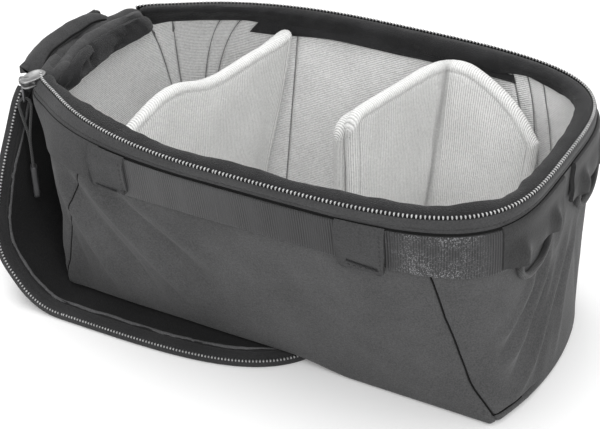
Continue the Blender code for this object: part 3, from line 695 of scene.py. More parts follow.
def turning(corner, near, far, offset, reach):
    # a point and heading on a path that turns at a corner from one heading to another, rounded over reach
    if offset < -reach:
        return corner + near * offset, near
    if offset > reach:
        return corner + far * offset, far
    share = (offset + reach) / (2 * reach)
    start, finish = corner - near * reach, corner + far * reach
    point = start.lerp(corner, share).lerp(corner.lerp(finish, share), share)
    return point, near.lerp(far, share).normalized()


# Cord loops under the end tabs
loops = dict(diameter=0.0036, top=0.0949, drop=0.0138, outerReach=0.0520, innerReach=0.0195, stand=0.0024,
             boxiness=2.5, tuck=0.0034)


def buildLoop(side, sign):
    middle = (loops["outerReach"] + loops["innerReach"]) / 2
    half = (loops["outerReach"] - loops["innerReach"]) / 2
    knots = [(middle + half, loops["top"] + loops["tuck"])]
    for turn in spaced(0.0, math.pi, 14):
        knots.append((middle + half * boxy(math.cos(turn), 2 / loops["boxiness"]),
                      loops["top"] - loops["drop"] * math.sin(turn) ** (2 / loops["boxiness"])))
    knots.append((middle - half, loops["top"] + loops["tuck"]))
    points = [wallPoint(sign * turnAtY(reach, height), height, -loops["stand"]) for reach, height in knots]
    path = evenly(curved(points, 6), 38)
    piece = dress(tube(side + "CordLoop", path, loops["diameter"] / 2, 12, "cord"),
                  side + "_loop", "cord_cover", side + "_cord_loop")
    round(lengthsAlong(path)[-1], 4)


# Slider with its ring, doubled cord and grip
pull = dict(pivot=(-0.141765, -0.055596, 0.1255), outward=(-0.77383, -0.6334, 0.0), sliderStand=0.0061,
            ringLow=0.0124, wire=0.0014, ringWidth=0.0068, cordDiameter=0.0016, gripTop=0.0717,
            gripLength=0.0200, gripWidth=0.0062, gripThickness=0.0040)
pullOut = Vector(pull["outward"])
pullAlong = Vector((0.6334, -0.77383, 0.0))


def pullPoint(out, along, height):
    pivot = Vector(pull["pivot"])
    return Vector((pivot.x, pivot.y, height)) + pullOut * out + pullAlong * along


def buildPull():
    # the cord's loop lies over the ring's lower wire, its two strands go down side by side into the grip
    wireLow = pull["pivot"][2] - pull["ringLow"]
    bend = 2.1 * pull["cordDiameter"]
    top = wireLow + pull["wire"] / 2 + pull["cordDiameter"] / 2
    half = [(0.0, -0.0012, pull["gripTop"] - 0.0015), (0.0, -0.0012, 0.0800), (0.0003, -0.0011, 0.0900),
            (0.0016, -0.0008, 0.0990), (0.0029, -0.0004, 0.1065)]
    knots = half + [(bend * math.cos(turn), 0.0, top - bend + bend * math.sin(turn))
                    for turn in spaced(0.0, math.pi, 8)]
    knots += [(-out, -along, height) for out, along, height in reversed(half)]
    path = evenly(curved([pullPoint(*knot) for knot in knots], 5), 39)
    cord = dress(tube("pullCord", path, pull["cordDiameter"] / 2, 10, "fineCord"), "pull_strap", "cord_cover",
                 "pull_strap")
    grip = buildGrip()
    round(lengthsAlong(path)[-1], 4)


def buildGrip():
    # moulded grip: rounded section with a raised rim, shallow ribs and drawn-in ends
    count = 40
    sides = 28
    heights = [pull["gripTop"] - pull["gripLength"] * (1 - math.cos(math.pi * share)) / 2
               for share in spaced(0.0, 1.0, count)]

    def place(column, row):
        height = heights[column]
        ends = max(0.0, min(pull["gripTop"] - height, height - pull["gripTop"] + pull["gripLength"]))
        full = 0.72 + 0.28 * arch(ends / 0.0022)
        turn = 2 * math.pi * row / sides
        across = boxy(math.cos(turn), 0.55)
        out = boxy(math.sin(turn), 0.55)
        middle = 1 - ease((abs(across) - 0.55) / 0.2)
        rib = 0.07 * math.sin(ends * 2 * math.pi / 0.0019) * middle * ease((ends - 0.003) / 0.002)
        dish = 0.16 * middle * ease((ends - 0.0016) / 0.002)
        return pullPoint(out * pull["gripThickness"] / 2 * full * (1 - dish + rib),
                         across * pull["gripWidth"] / 2 * full, height)

    piece = loft("pullGrip", count, sides, place, "grip", smooth=60.0)
    return dress(piece, "pull_strap", "grip_rubber", "pull_grip")


def buildRing():
    # drawn wire ring: a long D that hangs on the slider's eyelet
    count = 44
    half = pull["ringLow"] / 2
    middle = pull["pivot"][2] - half
    width = (pull["ringWidth"] - pull["wire"]) / 2
    path = [pullPoint(0.0, boxy(math.sin(turn), 0.75) * width, middle + boxy(math.cos(turn), 0.8) * half)
            for turn in spaced(0.0, 2 * math.pi, count)]
    rings = []
    for index in range(count):
        run = (path[index + 1] - path[index - 1 if index else count - 1]).normalized()
        side = run.cross(pullOut).normalized()
        rings.append([path[index] + (side * math.cos(turn) + pullOut * math.sin(turn)) * pull["wire"] / 2
                      for turn in spaced(0.0, 2 * math.pi, 12)[:-1]])
    dress(lined("pullRing", rings, "ring", ringed=True), "pull_ring", "slider_metal", "pull_ring")


slider = dict(length=0.0168, width=0.0106, top=0.0023, plate=0.0011, neck=0.0026, eyelet=0.0016, skew=-46.0,
              taper=0.20)


def sliderPlate(mesh, low, high, scale, rim):
    # an oval plate, rounder in front, with softened edges and a shallow pressed dish
    made = bmesh.ops.create_circle(mesh, cap_ends=True, segments=36, radius=1.0)
    corners = made["verts"]
    for corner in corners:
        along, across = corner.co.x, corner.co.y
        narrow = 1 - slider["taper"] * ease((along + 1) / 2)
        corner.co = Vector((along * slider["length"] / 2 * scale,
                            boxy(across, 0.8) * slider["width"] / 2 * scale * narrow, low))
    face = corners[0].link_faces[0]
    raised = bmesh.ops.extrude_face_region(mesh, geom=[face], use_keep_orig=True)
    lid = [item for item in raised["geom"] if isinstance(item, bmesh.types.BMFace)][0]
    bmesh.ops.translate(mesh, vec=(0.0, 0.0, high - low), verts=lid.verts[:])
    bmesh.ops.bevel(mesh, geom=[*face.edges, *lid.edges], offset=(high - low) * 0.34, segments=3,
                    affect="EDGES", profile=0.5, material=-1)
    if rim:
        caps = [part for part in mesh.faces
                if len(part.verts) > 20 and part.calc_center_median().z > high - 1e-5]
        bmesh.ops.inset_region(mesh, faces=caps, thickness=0.0009, depth=0.0)
        bmesh.ops.inset_region(mesh, faces=caps, thickness=0.0005, depth=-0.0003)


def buildSlider():
    mesh = bmesh.new()
    top, plate = slider["top"], slider["plate"]
    sliderPlate(mesh, top - plate, top, 1.0, True)
    sliderPlate(mesh, -top, -top + plate, 0.94, False)
    bmesh.ops.create_cone(mesh, cap_ends=True, segments=20, radius1=slider["neck"], radius2=slider["neck"],
                          depth=2 * (top - plate) + 0.0004)
    bmesh.ops.rotate(mesh, cent=(0.0, 0.0, 0.0), matrix=Matrix.Rotation(math.radians(slider["skew"]), 3, "Z"),
                     verts=mesh.verts[:])
    # eyelet that holds the ring: a bent strip from the upper plate to the lower one
    reach = pull["sliderStand"]
    bends = [(0.0022, 0.0021)] + [(reach + math.cos(turn) * 0.0014, math.sin(turn) * 0.0022)
                                 for turn in spaced(math.pi * 0.45, -math.pi * 0.45, 8)] + [(0.0022, -0.0021)]
    for (outNear, highNear), (outFar, highFar) in zip(bends, bends[1:]):
        run = Vector((0.0, outFar - outNear, highFar - highNear))
        middle = Vector((0.0, -(outNear + outFar) / 2, (highNear + highFar) / 2))
        turned = Matrix.Rotation(math.atan2(highFar - highNear, -(outFar - outNear)), 4, "X")
        bmesh.ops.create_cube(mesh, size=1.0, matrix=Matrix.Translation(middle) @ turned
                              @ Matrix.Diagonal((slider["eyelet"], run.length + 0.0003, 0.0006, 1.0)))
    centre = pullPoint(-pull["sliderStand"], 0.0, pull["pivot"][2])
    place = Matrix((pullAlong, -pullOut, upward)).transposed().to_4x4()
    bmesh.ops.transform(mesh, matrix=Matrix.Translation(centre) @ place, verts=mesh.verts[:])
    dress(finished(mesh, "zipSlider", "slider", 40.0), "slider", "slider_metal", "zip_slider")


buildLoop("front", -1)
buildLoop("back", 1)
buildPull()
buildRing()
buildSlider()
print("cords and pull")

# Outer shell: one lofted bowl of cloth over foam
shell = dict(bottomShares=(0.0, 0.35, 0.62, 0.80, 0.90, 0.955, 0.985), edgeRound=0.0026, wallRows=52,
             topRound=0.0008, thickness=0.0070, innerRows=6, columnPitch=0.0023,
             seamOffsets=(0.0, 0.0006, 0.0014, 0.0026, 0.0042), grooveDepth=0.0012, grooveWidth=0.0006,
             rollHeight=0.0004, rollPlace=0.0022, rollWidth=0.0012, leftDip=0.6, innerFloor=0.007,
             footSpan=0.116, countLevel=0.06, squareHeight=0.026, hangTurn=153.0, hangWidth=18.0,
             footRows=(0.0, 0.0006, 0.0012, 0.0018, 0.0024, 0.0030, 0.0038, 0.0050, 0.0068),
             belly=0.0135, bellyMiddle=-0.006, bellyReach=0.0605, bellyTop=0.095, footSeam=0.0052)
# The sewn corners: pairs of height and degrees round the outline, the back's a mirror of the front's
leftSeam = ((0.0, 144), (0.010, 141), (0.030, 133), (0.047, 127.3), (0.062, 119.4), (0.075, 116.5),
            (0.120, 113))
rightSeam = ((0.0, 37), (0.018, 45.5), (0.043, 52.5), (0.067, 57.5), (0.095, 60), (0.120, 62))


def mirrored(seam):
    return tuple((height, -degrees) for height, degrees in seam)


seamTurns = dict(frontLeft=mirrored(leftSeam), frontRight=mirrored(rightSeam), backRight=rightSeam,
                 backLeft=leftSeam)


def seamAt(seam, height):
    # length round the outline at which a seam passes: a table of heights and degrees, or an x on the back
    if isinstance(seam, float):
        return lengthAt(height, turnAtX(seam, height))
    return lengthAt(height, math.radians(float(np.interp(height, *zip(*seam)))))


def seamColumns(seams, offsets, pitch):
    # columns from seam to seam, closer beside them: the two seams' names, the column's share of the way and,
    # where it is close, its distance from the nearer seam
    names = list(seams)
    level = shell["countLevel"]
    columns = []
    for start, finish in zip(names, names[1:] + names[:1]):
        run = (seamAt(seams[finish], level) - seamAt(seams[start], level)) % roundTable(level)[1][-1]
        count = max(2, round((run - 2 * offsets[-1]) / pitch))
        columns += [(start, finish, 0.0, offset) for offset in offsets]
        columns += [(start, finish, share, None) for share in spaced(0.0, 1.0, count)[1:-1]]
        columns += [(start, finish, 1.0, offset) for offset in reversed(offsets[1:])]
    return columns


def columnTurn(seams, column, height, edge):
    start, finish, share, offset = column
    low = seamAt(seams[start], height)
    high = low + (seamAt(seams[finish], height) - low) % roundTable(height)[1][-1]
    if offset is None:
        return turnAt(height, mix(low + edge, high - edge, share))
    return turnAt(height, low + offset if share < 0.5 else high - offset)


def seamDip(offset):
    # a groove at the seam between two low rolls
    if offset is None:
        return 0.0
    groove = shell["grooveDepth"] * bell(offset, shell["grooveWidth"])
    return groove - shell["rollHeight"] * bell(offset - shell["rollPlace"], shell["rollWidth"])


def squared(point, height):
    # low down, the base's corners are folded to a point
    far = point.x > bag["originX"]
    reach, halfWidth, _ = outlineShape(far, height)
    most = max(abs(point.x - bag["originX"]) / reach, abs(point.y) / halfWidth)
    sharp = (1 - ease(height / shell["squareHeight"])) * (0.3 if point.y > 0 else 1.0 if far else 0.8)
    scale = mix(1.0, 1 / most, sharp)
    return Vector((bag["originX"] + (point.x - bag["originX"]) * scale, point.y * scale, point.z))


def bellyOut(point, outward):
    # the far end's cloth hangs in a belly, fullest at the ground
    high = max(0.0, 1 - point.z / shell["bellyTop"]) ** 1.6
    wide = max(0.0, 1 - ((point.y - shell["bellyMiddle"]) / shell["bellyReach"]) ** 2) ** 0.8
    return shell["belly"] * high * wide * ease((outward.x - 0.2) / 0.6)


# How far the hinge end's cloth hangs out, by height
hingeHang = ((0.000, 0.0), (0.005, 0.0022), (0.012, 0.0050), (0.024, 0.0054), (0.040, 0.0008),
             (0.058, -0.0050), (0.080, -0.0068), (0.099, -0.0054), (0.110, -0.0016), (0.119, 0.0))


def hangOut(turn, height, outward):
    # the hinge end's cloth is slack: drawn in under the rim, full at the foot
    heights, steps = zip(*hingeHang)
    shifts = (-0.006, -0.003, 0.0, 0.003, 0.006)
    step = sum(float(np.interp(height + shift, heights, steps)) for shift in shifts) / len(shifts)
    if step > 0:
        return step * ease((-outward.x - 0.15) / 0.5) * ease((height - 0.001) / 0.008)
    return step * bell(math.degrees(abs(turn)) - shell["hangTurn"], shell["hangWidth"])


def skinPoint(turn, height, depth):
    # a point on the cloth as it really hangs
    point, outward = wallPlace(turn, height)
    spot = squared(point, height)
    if point.x < -0.05:
        spot = spot + outward * hangOut(turn, height, outward)
    return spot + outward * (wallSwell(point) - depth) + Vector((bellyOut(point, outward), 0.0, 0.0))


def footDip(point):
    # sewing line round the far end's foot
    near = ease((-0.020 - point.y) / 0.020) if point.x > 0.134 else 0.0
    below = 0.0007 * ease((shell["footSeam"] - 0.0004 - point.z) / 0.0006)
    return near * (0.0011 * bell(point.z - shell["footSeam"], 0.0006) - below)


def buildShell():
    edge, top, thick = shell["edgeRound"], shell["topRound"], shell["thickness"]
    floorRise = shell["innerFloor"]
    rows = [("bottom", share, 0) for share in shell["bottomShares"]]
    for degrees in (10, 35, 60, 80):
        turn = math.radians(degrees)
        rows.append(("edge", edge * (1 - math.sin(turn)), edge * (1 - math.cos(turn))))
    footShares = [rise / shell["footSpan"] for rise in shell["footRows"]]
    wallShares = footShares[:-1] + spaced(footShares[-1], 1.0, shell["wallRows"])
    rows += [("wall", share, 0) for share in wallShares[:-1]]
    rows += [("top", 0.25 * top, -0.3 * top), ("top", top, 0.0)]
    rows += [("top", thick - top, 0.0), ("top", thick, -top)]
    rows += [("inner", share, 0) for share in spaced(1.0, 0.0, shell["innerRows"])[1:]]
    rows += [("floor", share, 0) for share in (0.7, 0.35, 0.0)]
    columns = seamColumns(seamTurns, shell["seamOffsets"], shell["columnPitch"])
    made = []
    for column in columns:
        def here(surface, height, depth):
            return surface(columnTurn(seamTurns, column, height, shell["seamOffsets"][-1]), height, depth)

        # the hinge end's seams are shallower
        dip = seamDip(column[3])
        if "Left" in column[0] and column[2] < 0.5 or "Left" in column[1] and column[2] > 0.5:
            dip *= shell["leftDip"]
        lowEdge = edgeLow(here(wallPoint, edge, 0.0).x)
        line = []
        for kind, first, second in rows:
            if kind == "bottom":
                spot = baseCentre.lerp(here(skinPoint, edge, 1.2 * edge), first)
                line.append(Vector((spot.x, spot.y, edgeLow(spot.x))))
            elif kind == "edge":
                line.append(here(skinPoint, lowEdge + second, first + dip * 0.5))
            elif kind == "wall":
                height = mix(lowEdge + edge, bag["panelTop"] - top, first)
                fade = ease((0.1185 - height) / 0.01)
                line.append(here(skinPoint, height, dip * fade + footDip(here(wallPoint, height, 0.0))))
            elif kind == "top":
                line.append(here(skinPoint, bag["panelTop"] + second, first))
            elif kind == "inner":
                line.append(here(wallPoint, mix(lowEdge + floorRise, bag["panelTop"] - top, first), thick))
            else:
                spot = baseCentre.lerp(here(wallPoint, lowEdge + floorRise, thick), first)
                line.append(Vector((spot.x, spot.y, edgeLow(spot.x) + floorRise)))
        made.append(line)
    dress(lined("outerShell", made, "shell", ringed=True, smooth=50.0, closed=False), "bag", "shell_cloth",
          "front_panel", "back_panel", "left_end_panel", "right_end_panel", "base_panel", "front_padding",
          "back_padding", "left_end_padding", "right_end_padding", "base_board", fill=0.4)
    print("outer shell", len(columns), "columns", len(rows), "rows")


def buildSeamLines():
    # a near-black line in each sewn corner, at the far end carried on round the foot: the seam's thread with
    # the shade of its groove painted in
    for name, way in (("frontRight", 1), ("backRight", -1), ("frontLeft", 0), ("backLeft", 0)):
        seam = seamTurns[name]
        high = 0.0965 if way else 0.0950
        low = shell["footSeam"] + (0.0 if way else 0.004)
        knots = [skinPoint(turnAt(height, seamAt(seam, height)), height, 0.0004)
                 for height in spaced(high, low, 40)]
        if way:
            start = seamAt(seam, low)
            knots += [skinPoint(turnAt(low, start + way * further), low, 0.0005)
                      for further in spaced(0.001, 0.020, 12)]
        thread(name + "SeamLine", evenly(knots, 90), 0.00042 if way else 0.00030)


buildShell()
buildSeamLines()

# Rim: guard, tape and teeth
rim = dict(guardPitch=0.0021, guardShoulder=0.1268, guardLow=0.1080, toothPitch=0.0021, toothLength=0.0010,
           toothWidth=0.0017, toothHeight=0.0016, stitchPitch=0.0030, stitchLength=0.0019,
           stitchHeight=0.1212, stitchThick=0.00035)
zipTurn = turnAtReach(bag["zipStart"])


def rimLengths(pitch, short=0.0):
    start = lengthAt(bag["height"], -zipTurn) + short
    finish = lengthAt(bag["height"], zipTurn) - short
    return pitched(start, finish, pitch)


def wallStrip(name, lengths, section, material, swell=None, smooth=40.0, ends=None):
    # a closed section of (height, depth) pairs carried along the rim; ends draws it together at both ends
    made = []
    for length in lengths:
        line = []
        close = 1.0
        if ends:
            reach, keep, middle = ends
            close = mix(keep, 1.0, arch(min(length - lengths[0], lengths[-1] - length) / reach))
        for height, depth in section:
            more = swell(length, height, depth) if swell else (0.0, 0.0)
            height, depth = height + more[0], depth + more[1]
            if ends:
                height, depth = mix(middle[0], height, close), mix(middle[1], depth, close)
            line.append(onWall(length, height, depth))
        made.append(line)
    return lined(name, made, material, smooth=smooth)


# How low the guard reaches, by degrees round the rim
guardFeet = ((-180, 0.1165), (-100, 0.1150), (-60, 0.1150), (-20, 0.1200), (0, 0.1225), (20, 0.1230),
             (31, 0.1210), (48, 0.1190), (57, 0.1200), (63, 0.1215), (68, 0.1205), (74, 0.1180),
             (112, 0.1180), (117, 0.1185), (126, 0.1175), (144, 0.1170), (150, 0.1155), (180, 0.1165))


def guardFoot(turn):
    return float(np.interp(math.degrees(turn), *zip(*guardFeet)))


def guardSwell(length, height, depth):
    # velvet that was pushed and creased by hand
    slow = wavy(length * 26.0, height * 30.0, 0.0)
    quick = wavy(length * 120.0, height * 90.0, 4.0)
    inside = ease((depth - 0.0035) / 0.004)
    low = ease((0.1110 - height) / 0.004)
    up = ease((height - 0.1262) / 0.0012)
    # the section is drawn up to the guard's foot, the more the lower down
    turn = rimTurn(length)
    shoulder, foot = rim["guardShoulder"], rim["guardLow"]
    drawn = max(0.0, shoulder - height) / (shoulder - foot)
    lift = drawn * (guardFoot(turn) - foot) if depth > 0.003 else 0.0
    # fuller along the front
    full = ease((math.degrees(turn) + 138) / 16) * (1 - ease((math.degrees(turn) + 34) / 20))
    rise = 0.0012 * slow * low + 0.0003 * quick * inside + (0.0009 * slow + 0.0008 * full) * up * inside
    return lift + rise, (0.0021 * slow + 0.0007 * quick + 0.0021 * full) * inside


def tapeSwell(length, height, depth):
    # the tape's outer face ripples a little
    return 0.0, 0.00035 * wavy(length * 40.0, height * 60.0, 2.0) if depth < 0.0005 else 0.0


def buildRim():
    section = [(0.1192, 0.0013), (0.1230, 0.0013), (0.1256, 0.0013), (0.1264, 0.0017), (0.1268, 0.0022),
               (0.1274, 0.0030), (0.1279, 0.0044), (0.1280, 0.0060), (0.1277, 0.0077), (0.1268, 0.0091),
               (0.1250, 0.0099), (0.1225, 0.0102), (0.1195, 0.0101), (0.1165, 0.0098), (0.1135, 0.0098),
               (0.1110, 0.0099), (0.1092, 0.0099), (0.1082, 0.0095), (0.1080, 0.0089), (0.1086, 0.0083),
               (0.1120, 0.0079), (0.1192, 0.0076)]
    guard = wallStrip("rimGuard", rimLengths(rim["guardPitch"]), section, "guard", guardSwell,
                      ends=(0.007, 0.40, (0.1230, 0.0062)))
    dress(guard, "bag", "guard_pile", "rim_guard", fill=0.5)
    section = [(0.1190, 0.0004), (0.1191, -0.0001), (0.1198, -0.0004), (0.1206, -0.0003), (0.1212, 0.0000),
               (0.1218, -0.0003), (0.1232, -0.0006), (0.1246, -0.0005), (0.1256, -0.0003), (0.1263, 0.0001),
               (0.1265, 0.0007), (0.1262, 0.0012), (0.1240, 0.0012), (0.1215, 0.0012), (0.1192, 0.0012)]
    tape = wallStrip("rimTape", rimLengths(0.003), section, "tape", tapeSwell)
    dress(tape, "bag", "zip_cloth", "rim_tape")
    dress(buildTeeth("rimTeeth", [toothMatrix(length) for length in rimLengths(rim["toothPitch"], 0.001)]),
          "bag", "teeth_metal", "rim_teeth")
    # painted shadow: a near-black line along the tape's lower edge, for the gap between the tape and the
    # webbing
    shadow = [onWall(length, 0.1186, -0.0001) for length in rimLengths(0.004, 0.002)]
    thread("rimTapeGapShadow", shadow, 0.0006, "zip_cloth")
    # the zip's cord under the teeth, in the near-black seam material: the cord with the shade under the teeth
    # painted into it
    groove = [toothMatrix(length).to_translation() - Vector((0.0, 0.0, 0.0003))
              for length in rimLengths(0.004, 0.001)]
    thread("rimToothCordShade", groove, 0.00085, "zip_cloth")


def frameMatrix(centre, along, outward, size):
    across = outward.cross(along).normalized()
    turned = Matrix((along.normalized(), across, outward.normalized())).transposed().to_4x4()
    return Matrix.Translation(centre) @ turned @ Matrix.Diagonal((*size, 1.0))


def toothMatrix(length):
    place, outward = wallPlace(rimTurn(length), bag["height"])
    centre = place - outward * (rim["toothWidth"] / 2 + 0.0001)
    centre.z = bag["height"] - rim["toothHeight"] / 2
    size = (rim["toothLength"], rim["toothWidth"], rim["toothHeight"])
    return frameMatrix(centre, upward.cross(outward), upward, size)


def buildTeeth(name, places):
    mesh = bmesh.new()
    for place in places:
        bmesh.ops.create_cube(mesh, size=1.0, matrix=place)
    bmesh.ops.bevel(mesh, geom=mesh.edges[:], offset=0.00028, segments=1, affect="EDGES", profile=0.5,
                    material=-1)
    return finished(mesh, name, "teeth", 50.0)


def stitches(name, places, material="thread"):
    # short rounded threads: each place gives a middle, a direction, the outward way and a size
    mesh = bmesh.new()
    for place in places:
        bmesh.ops.create_icosphere(mesh, subdivisions=1, radius=0.5, matrix=frameMatrix(*place))
    return finished(mesh, name, material, 0.0)


def buildRimStitches():
    size = (rim["stitchLength"], rim["stitchThick"], rim["stitchThick"])
    places = []
    for length in rimLengths(rim["stitchPitch"], 0.004):
        _, outward = wallPlace(rimTurn(length), rim["stitchHeight"])
        here = onWall(length, rim["stitchHeight"], -0.0001)
        places.append((here, upward.cross(outward), outward, size))
    dress(stitches("rimTapeStitches", places, "tape"), "bag", "zip_cloth")


buildRim()
buildRimStitches()
print("rim")

# Pale lining: walls with sewn joins, and the floor
lining = dict(pitch=0.0028, rows=34, offsets=(0.0, 0.0006, 0.0015, 0.0030), dip=0.0014, thread=0.00024,
              back=0.0074, topLevel=0.1160, tuck=0.0008)
liningSeams = dict(
    frontLeftEnd=((0.0, -150), (0.1080, -152)), frontLeftWide=((0.0, -122), (0.1080, -124)),
    frontMiddle=((0.0, -92), (0.1080, -92)), frontRightWide=((0.0, -70), (0.1080, -70)),
    frontFar=((0.0, -52), (0.1080, -58)), backFar=((0.0, 52), (0.1080, 58)),
    backRightWide=((0.0, 68.5), (0.1080, 64.5)), backRight=((0.0, 72), (0.1080, 70)),
    backMiddle=-0.0460, backLeftWide=((0.0, 116), (0.1080, 118.5)),
    backLeft=((0.0, 122.5), (0.1080, 124.8)), backLeftEnd=((0.0, 142.5), (0.1080, 142.5)),
    hinge=((0.0, 151), (0.1080, 152.5)))


def buildLining():
    offsets = lining["offsets"]
    low = bag["floorTop"] - lining["tuck"]
    made = []
    for column in seamColumns(liningSeams, offsets, lining["pitch"]):
        def turnHere(height):
            return columnTurn(liningSeams, column, height, offsets[-1])

        start, finish, share, offset = column
        high = guardFoot(turnHere(lining["topLevel"])) + lining["tuck"]
        line = []
        for height in spaced(low, high, lining["rows"]):
            sink = 0.0
            if offset is not None:
                sink = lining["dip"] * bell(offset, 0.0007)
                if (start if share < 0.5 else finish) == "backRightWide":
                    # a join that has opened into a fold
                    sink += 0.0030 * bell(offset, 0.0010) * ease((0.098 - height) / 0.02)
            turn = turnHere(height)
            point = wallPoint(turn, height, bag["wallDepth"])
            puff = 0.0008 * noise.noise(point * 22.0) + 0.0003 * noise.noise(point * 70.0)
            depth = bag["wallDepth"] + puff * ease((height - low) / 0.01) - sink
            line.append(wallPoint(turn, height, depth))
        line += [wallPoint(turnHere(height), height, lining["back"]) for height in spaced(high, low, 4)]
        made.append(line)
    piece = lined("wallLining", made, "pale", ringed=True)
    dress(piece, "bag", "pale_lining", "front_lining", "back_lining", "left_end_lining", "right_end_lining",
          fill=0.3)


def buildFloor():
    # soft floor that is lower at its edge, where it is sewn to the walls
    count = 96
    shares = [0.0, 0.12, 0.25, 0.4, 0.55, 0.7, 0.82, 0.90, 0.95, 0.985, 1.0]
    level = bag["floorTop"]
    total = roundTable(level)[1][-1]
    made = []
    for column in range(count):
        edge = wallPoint(turnAt(level, total * column / count), level, bag["wallDepth"] + 0.0004)
        line = []
        for share in shares:
            spot = baseCentre.lerp(edge, share)
            drop = 0.0010 * ease((share - 0.93) / 0.07)
            puff = 0.0005 * noise.noise(spot * 30.0)
            line.append(Vector((spot.x, spot.y, level - drop + puff * (1 - share ** 6))))
        for share in (1.0, 0.5, 0.0):
            spot = baseCentre.lerp(edge, share)
            line.append(Vector((spot.x, spot.y, level - 0.0024)))
        made.append(line)
    piece = lined("floorLining", made, "pale", ringed=True, closed=False)
    flat = piece.data.uv_layers.active.data
    for loop in piece.data.loops:
        flat[loop.index].uv = piece.data.vertices[loop.vertex_index].co.xy
    dress(piece, "bag", "pale_lining", "base_lining", fill=0.3)


def buildBackStrip():
    # second dark strip under the guard, creased as it hangs
    start, finish = (lengthAt(bag["height"], turnAtX(x, bag["height"])) for x in (0.0880, -0.0610))
    section = [(0.1116, 0.0091), (0.1113, 0.0097), (0.1118, 0.0103), (0.1140, 0.0106), (0.1160, 0.0104),
               (0.1180, 0.0101), (0.1192, 0.0095), (0.1186, 0.0090), (0.1150, 0.0090)]

    def swell(length, height, depth):
        # its lower edge climbs towards the far end
        wave = wavy(length * 45.0, height * 50.0, 8.0)
        share = (finish - length) / (finish - start)
        climb = 0.0036 * ease(share * 3.0 - 0.1) * ease((0.1170 - height) / 0.005)
        return climb + (0.0009 * wave if height < 0.113 else 0.0), 0.0007 * wave if depth > 0.0095 else 0.0

    lengths = pitched(start, finish, 0.0022)
    strip = wallStrip("backStrip", lengths, section, "guard", swell)
    dress(strip, "bag", "guard_pile", "back_strip", fill=0.3)


def buildLiningSeamShadows():
    # each seam gets a thin darker line: painted shade along the seam
    for name, seam in liningSeams.items():
        high = guardFoot(turnAt(lining["topLevel"], seamAt(seam, lining["topLevel"])))
        knots = [wallPoint(turnAt(height, seamAt(seam, height)), height, bag["wallDepth"] - 0.0003)
                 for height in spaced(0.0150, high, 30)]
        thread(name + "Thread", knots, lining["thread"], "pale_lining", "liningSeamShadow")


buildLining()
buildLiningSeamShadows()
buildFloor()
buildBackStrip()
print("lining")

# Lid: drawn flat in its closed place, then laid along the line on which it hangs and turns under the bag
lid = dict(hingeX=-0.1535, rootGap=0.0020, nearLength=0.098157, turnLength=0.0398, split=0.1180, fold=0.0150,
           surfaceX=-0.149205, surfaceTop=0.1309, farLevel=0.0046, thickness=0.0046, hingeReach=0.0360,
           tapeWidth=0.0086, ridge=0.0010, ridgeWidth=0.0013, recess=0.0009, tipPart=0.012, pitch=0.0026,
           pipingInset=0.0107, pipingRadius=0.00105, toothPitch=0.0019, toothSize=(0.0010, 0.0014, 0.0013))
foldPlaces = (lid["nearLength"], lid["nearLength"] + lid["turnLength"])
lean = math.sqrt(0.5)
runs = (Vector((0.0, 0.0, -1.0)), Vector((lean, 0.0, -lean)), Vector((1.0, 0.0, 0.0)))
foldPoints = (Vector((lid["surfaceX"], 0.0, lid["surfaceTop"] - lid["nearLength"])),
              Vector((lid["surfaceX"] + lid["turnLength"] * lean, 0.0, lid["farLevel"])))


def lidPlace(along, across, level):
    # a point of the lid from its length past the hinge, its place across and its level under the outer cloth
    fold = 0 if along < foldPlaces[0] + lid["fold"] else 1
    point, run = turning(foldPoints[fold], runs[fold], runs[fold + 1], along - foldPlaces[fold], lid["fold"])
    face = Vector((-run.z, 0.0, run.x))
    return point + Vector((0.0, across, 0.0)) - face * level


def lidOutline(inset):
    # front half of the lid's flat outline: lengths past the hinge with the half widths there
    points = [wallPoint(-math.pi + math.pi * share, bag["height"], inset) for share in spaced(0.0, 1.0, 900)]
    lengths = np.array([point.x - bag["originX"] - lid["hingeX"] for point in points])
    return lengths, np.array([-point.y for point in points])


def lidHalfWidth(along, inset):
    lengths, widths = lidOutlines[inset]
    wide = float(np.interp(along, lengths, widths, left=0.0, right=0.0))
    if along < 0.03:
        wide = max(wide, lid["hingeReach"] - 0.0060 * (1 - ease((along - 0.002) / 0.010)))
    return wide


padInset = lid["tapeWidth"] + 0.0002
lidOutlines = {inset: lidOutline(inset) for inset in (0.0, padInset)}
lidTip = float(lidOutlines[padInset][0].max())


def underBag(point):
    # 1 where the bag stands on the lid, so that nothing there rises
    inside = ease((0.070 - abs(point.y)) / 0.006) * ease((point.x + 0.125) / 0.010)
    return inside if point.z < 0.02 else 0.0


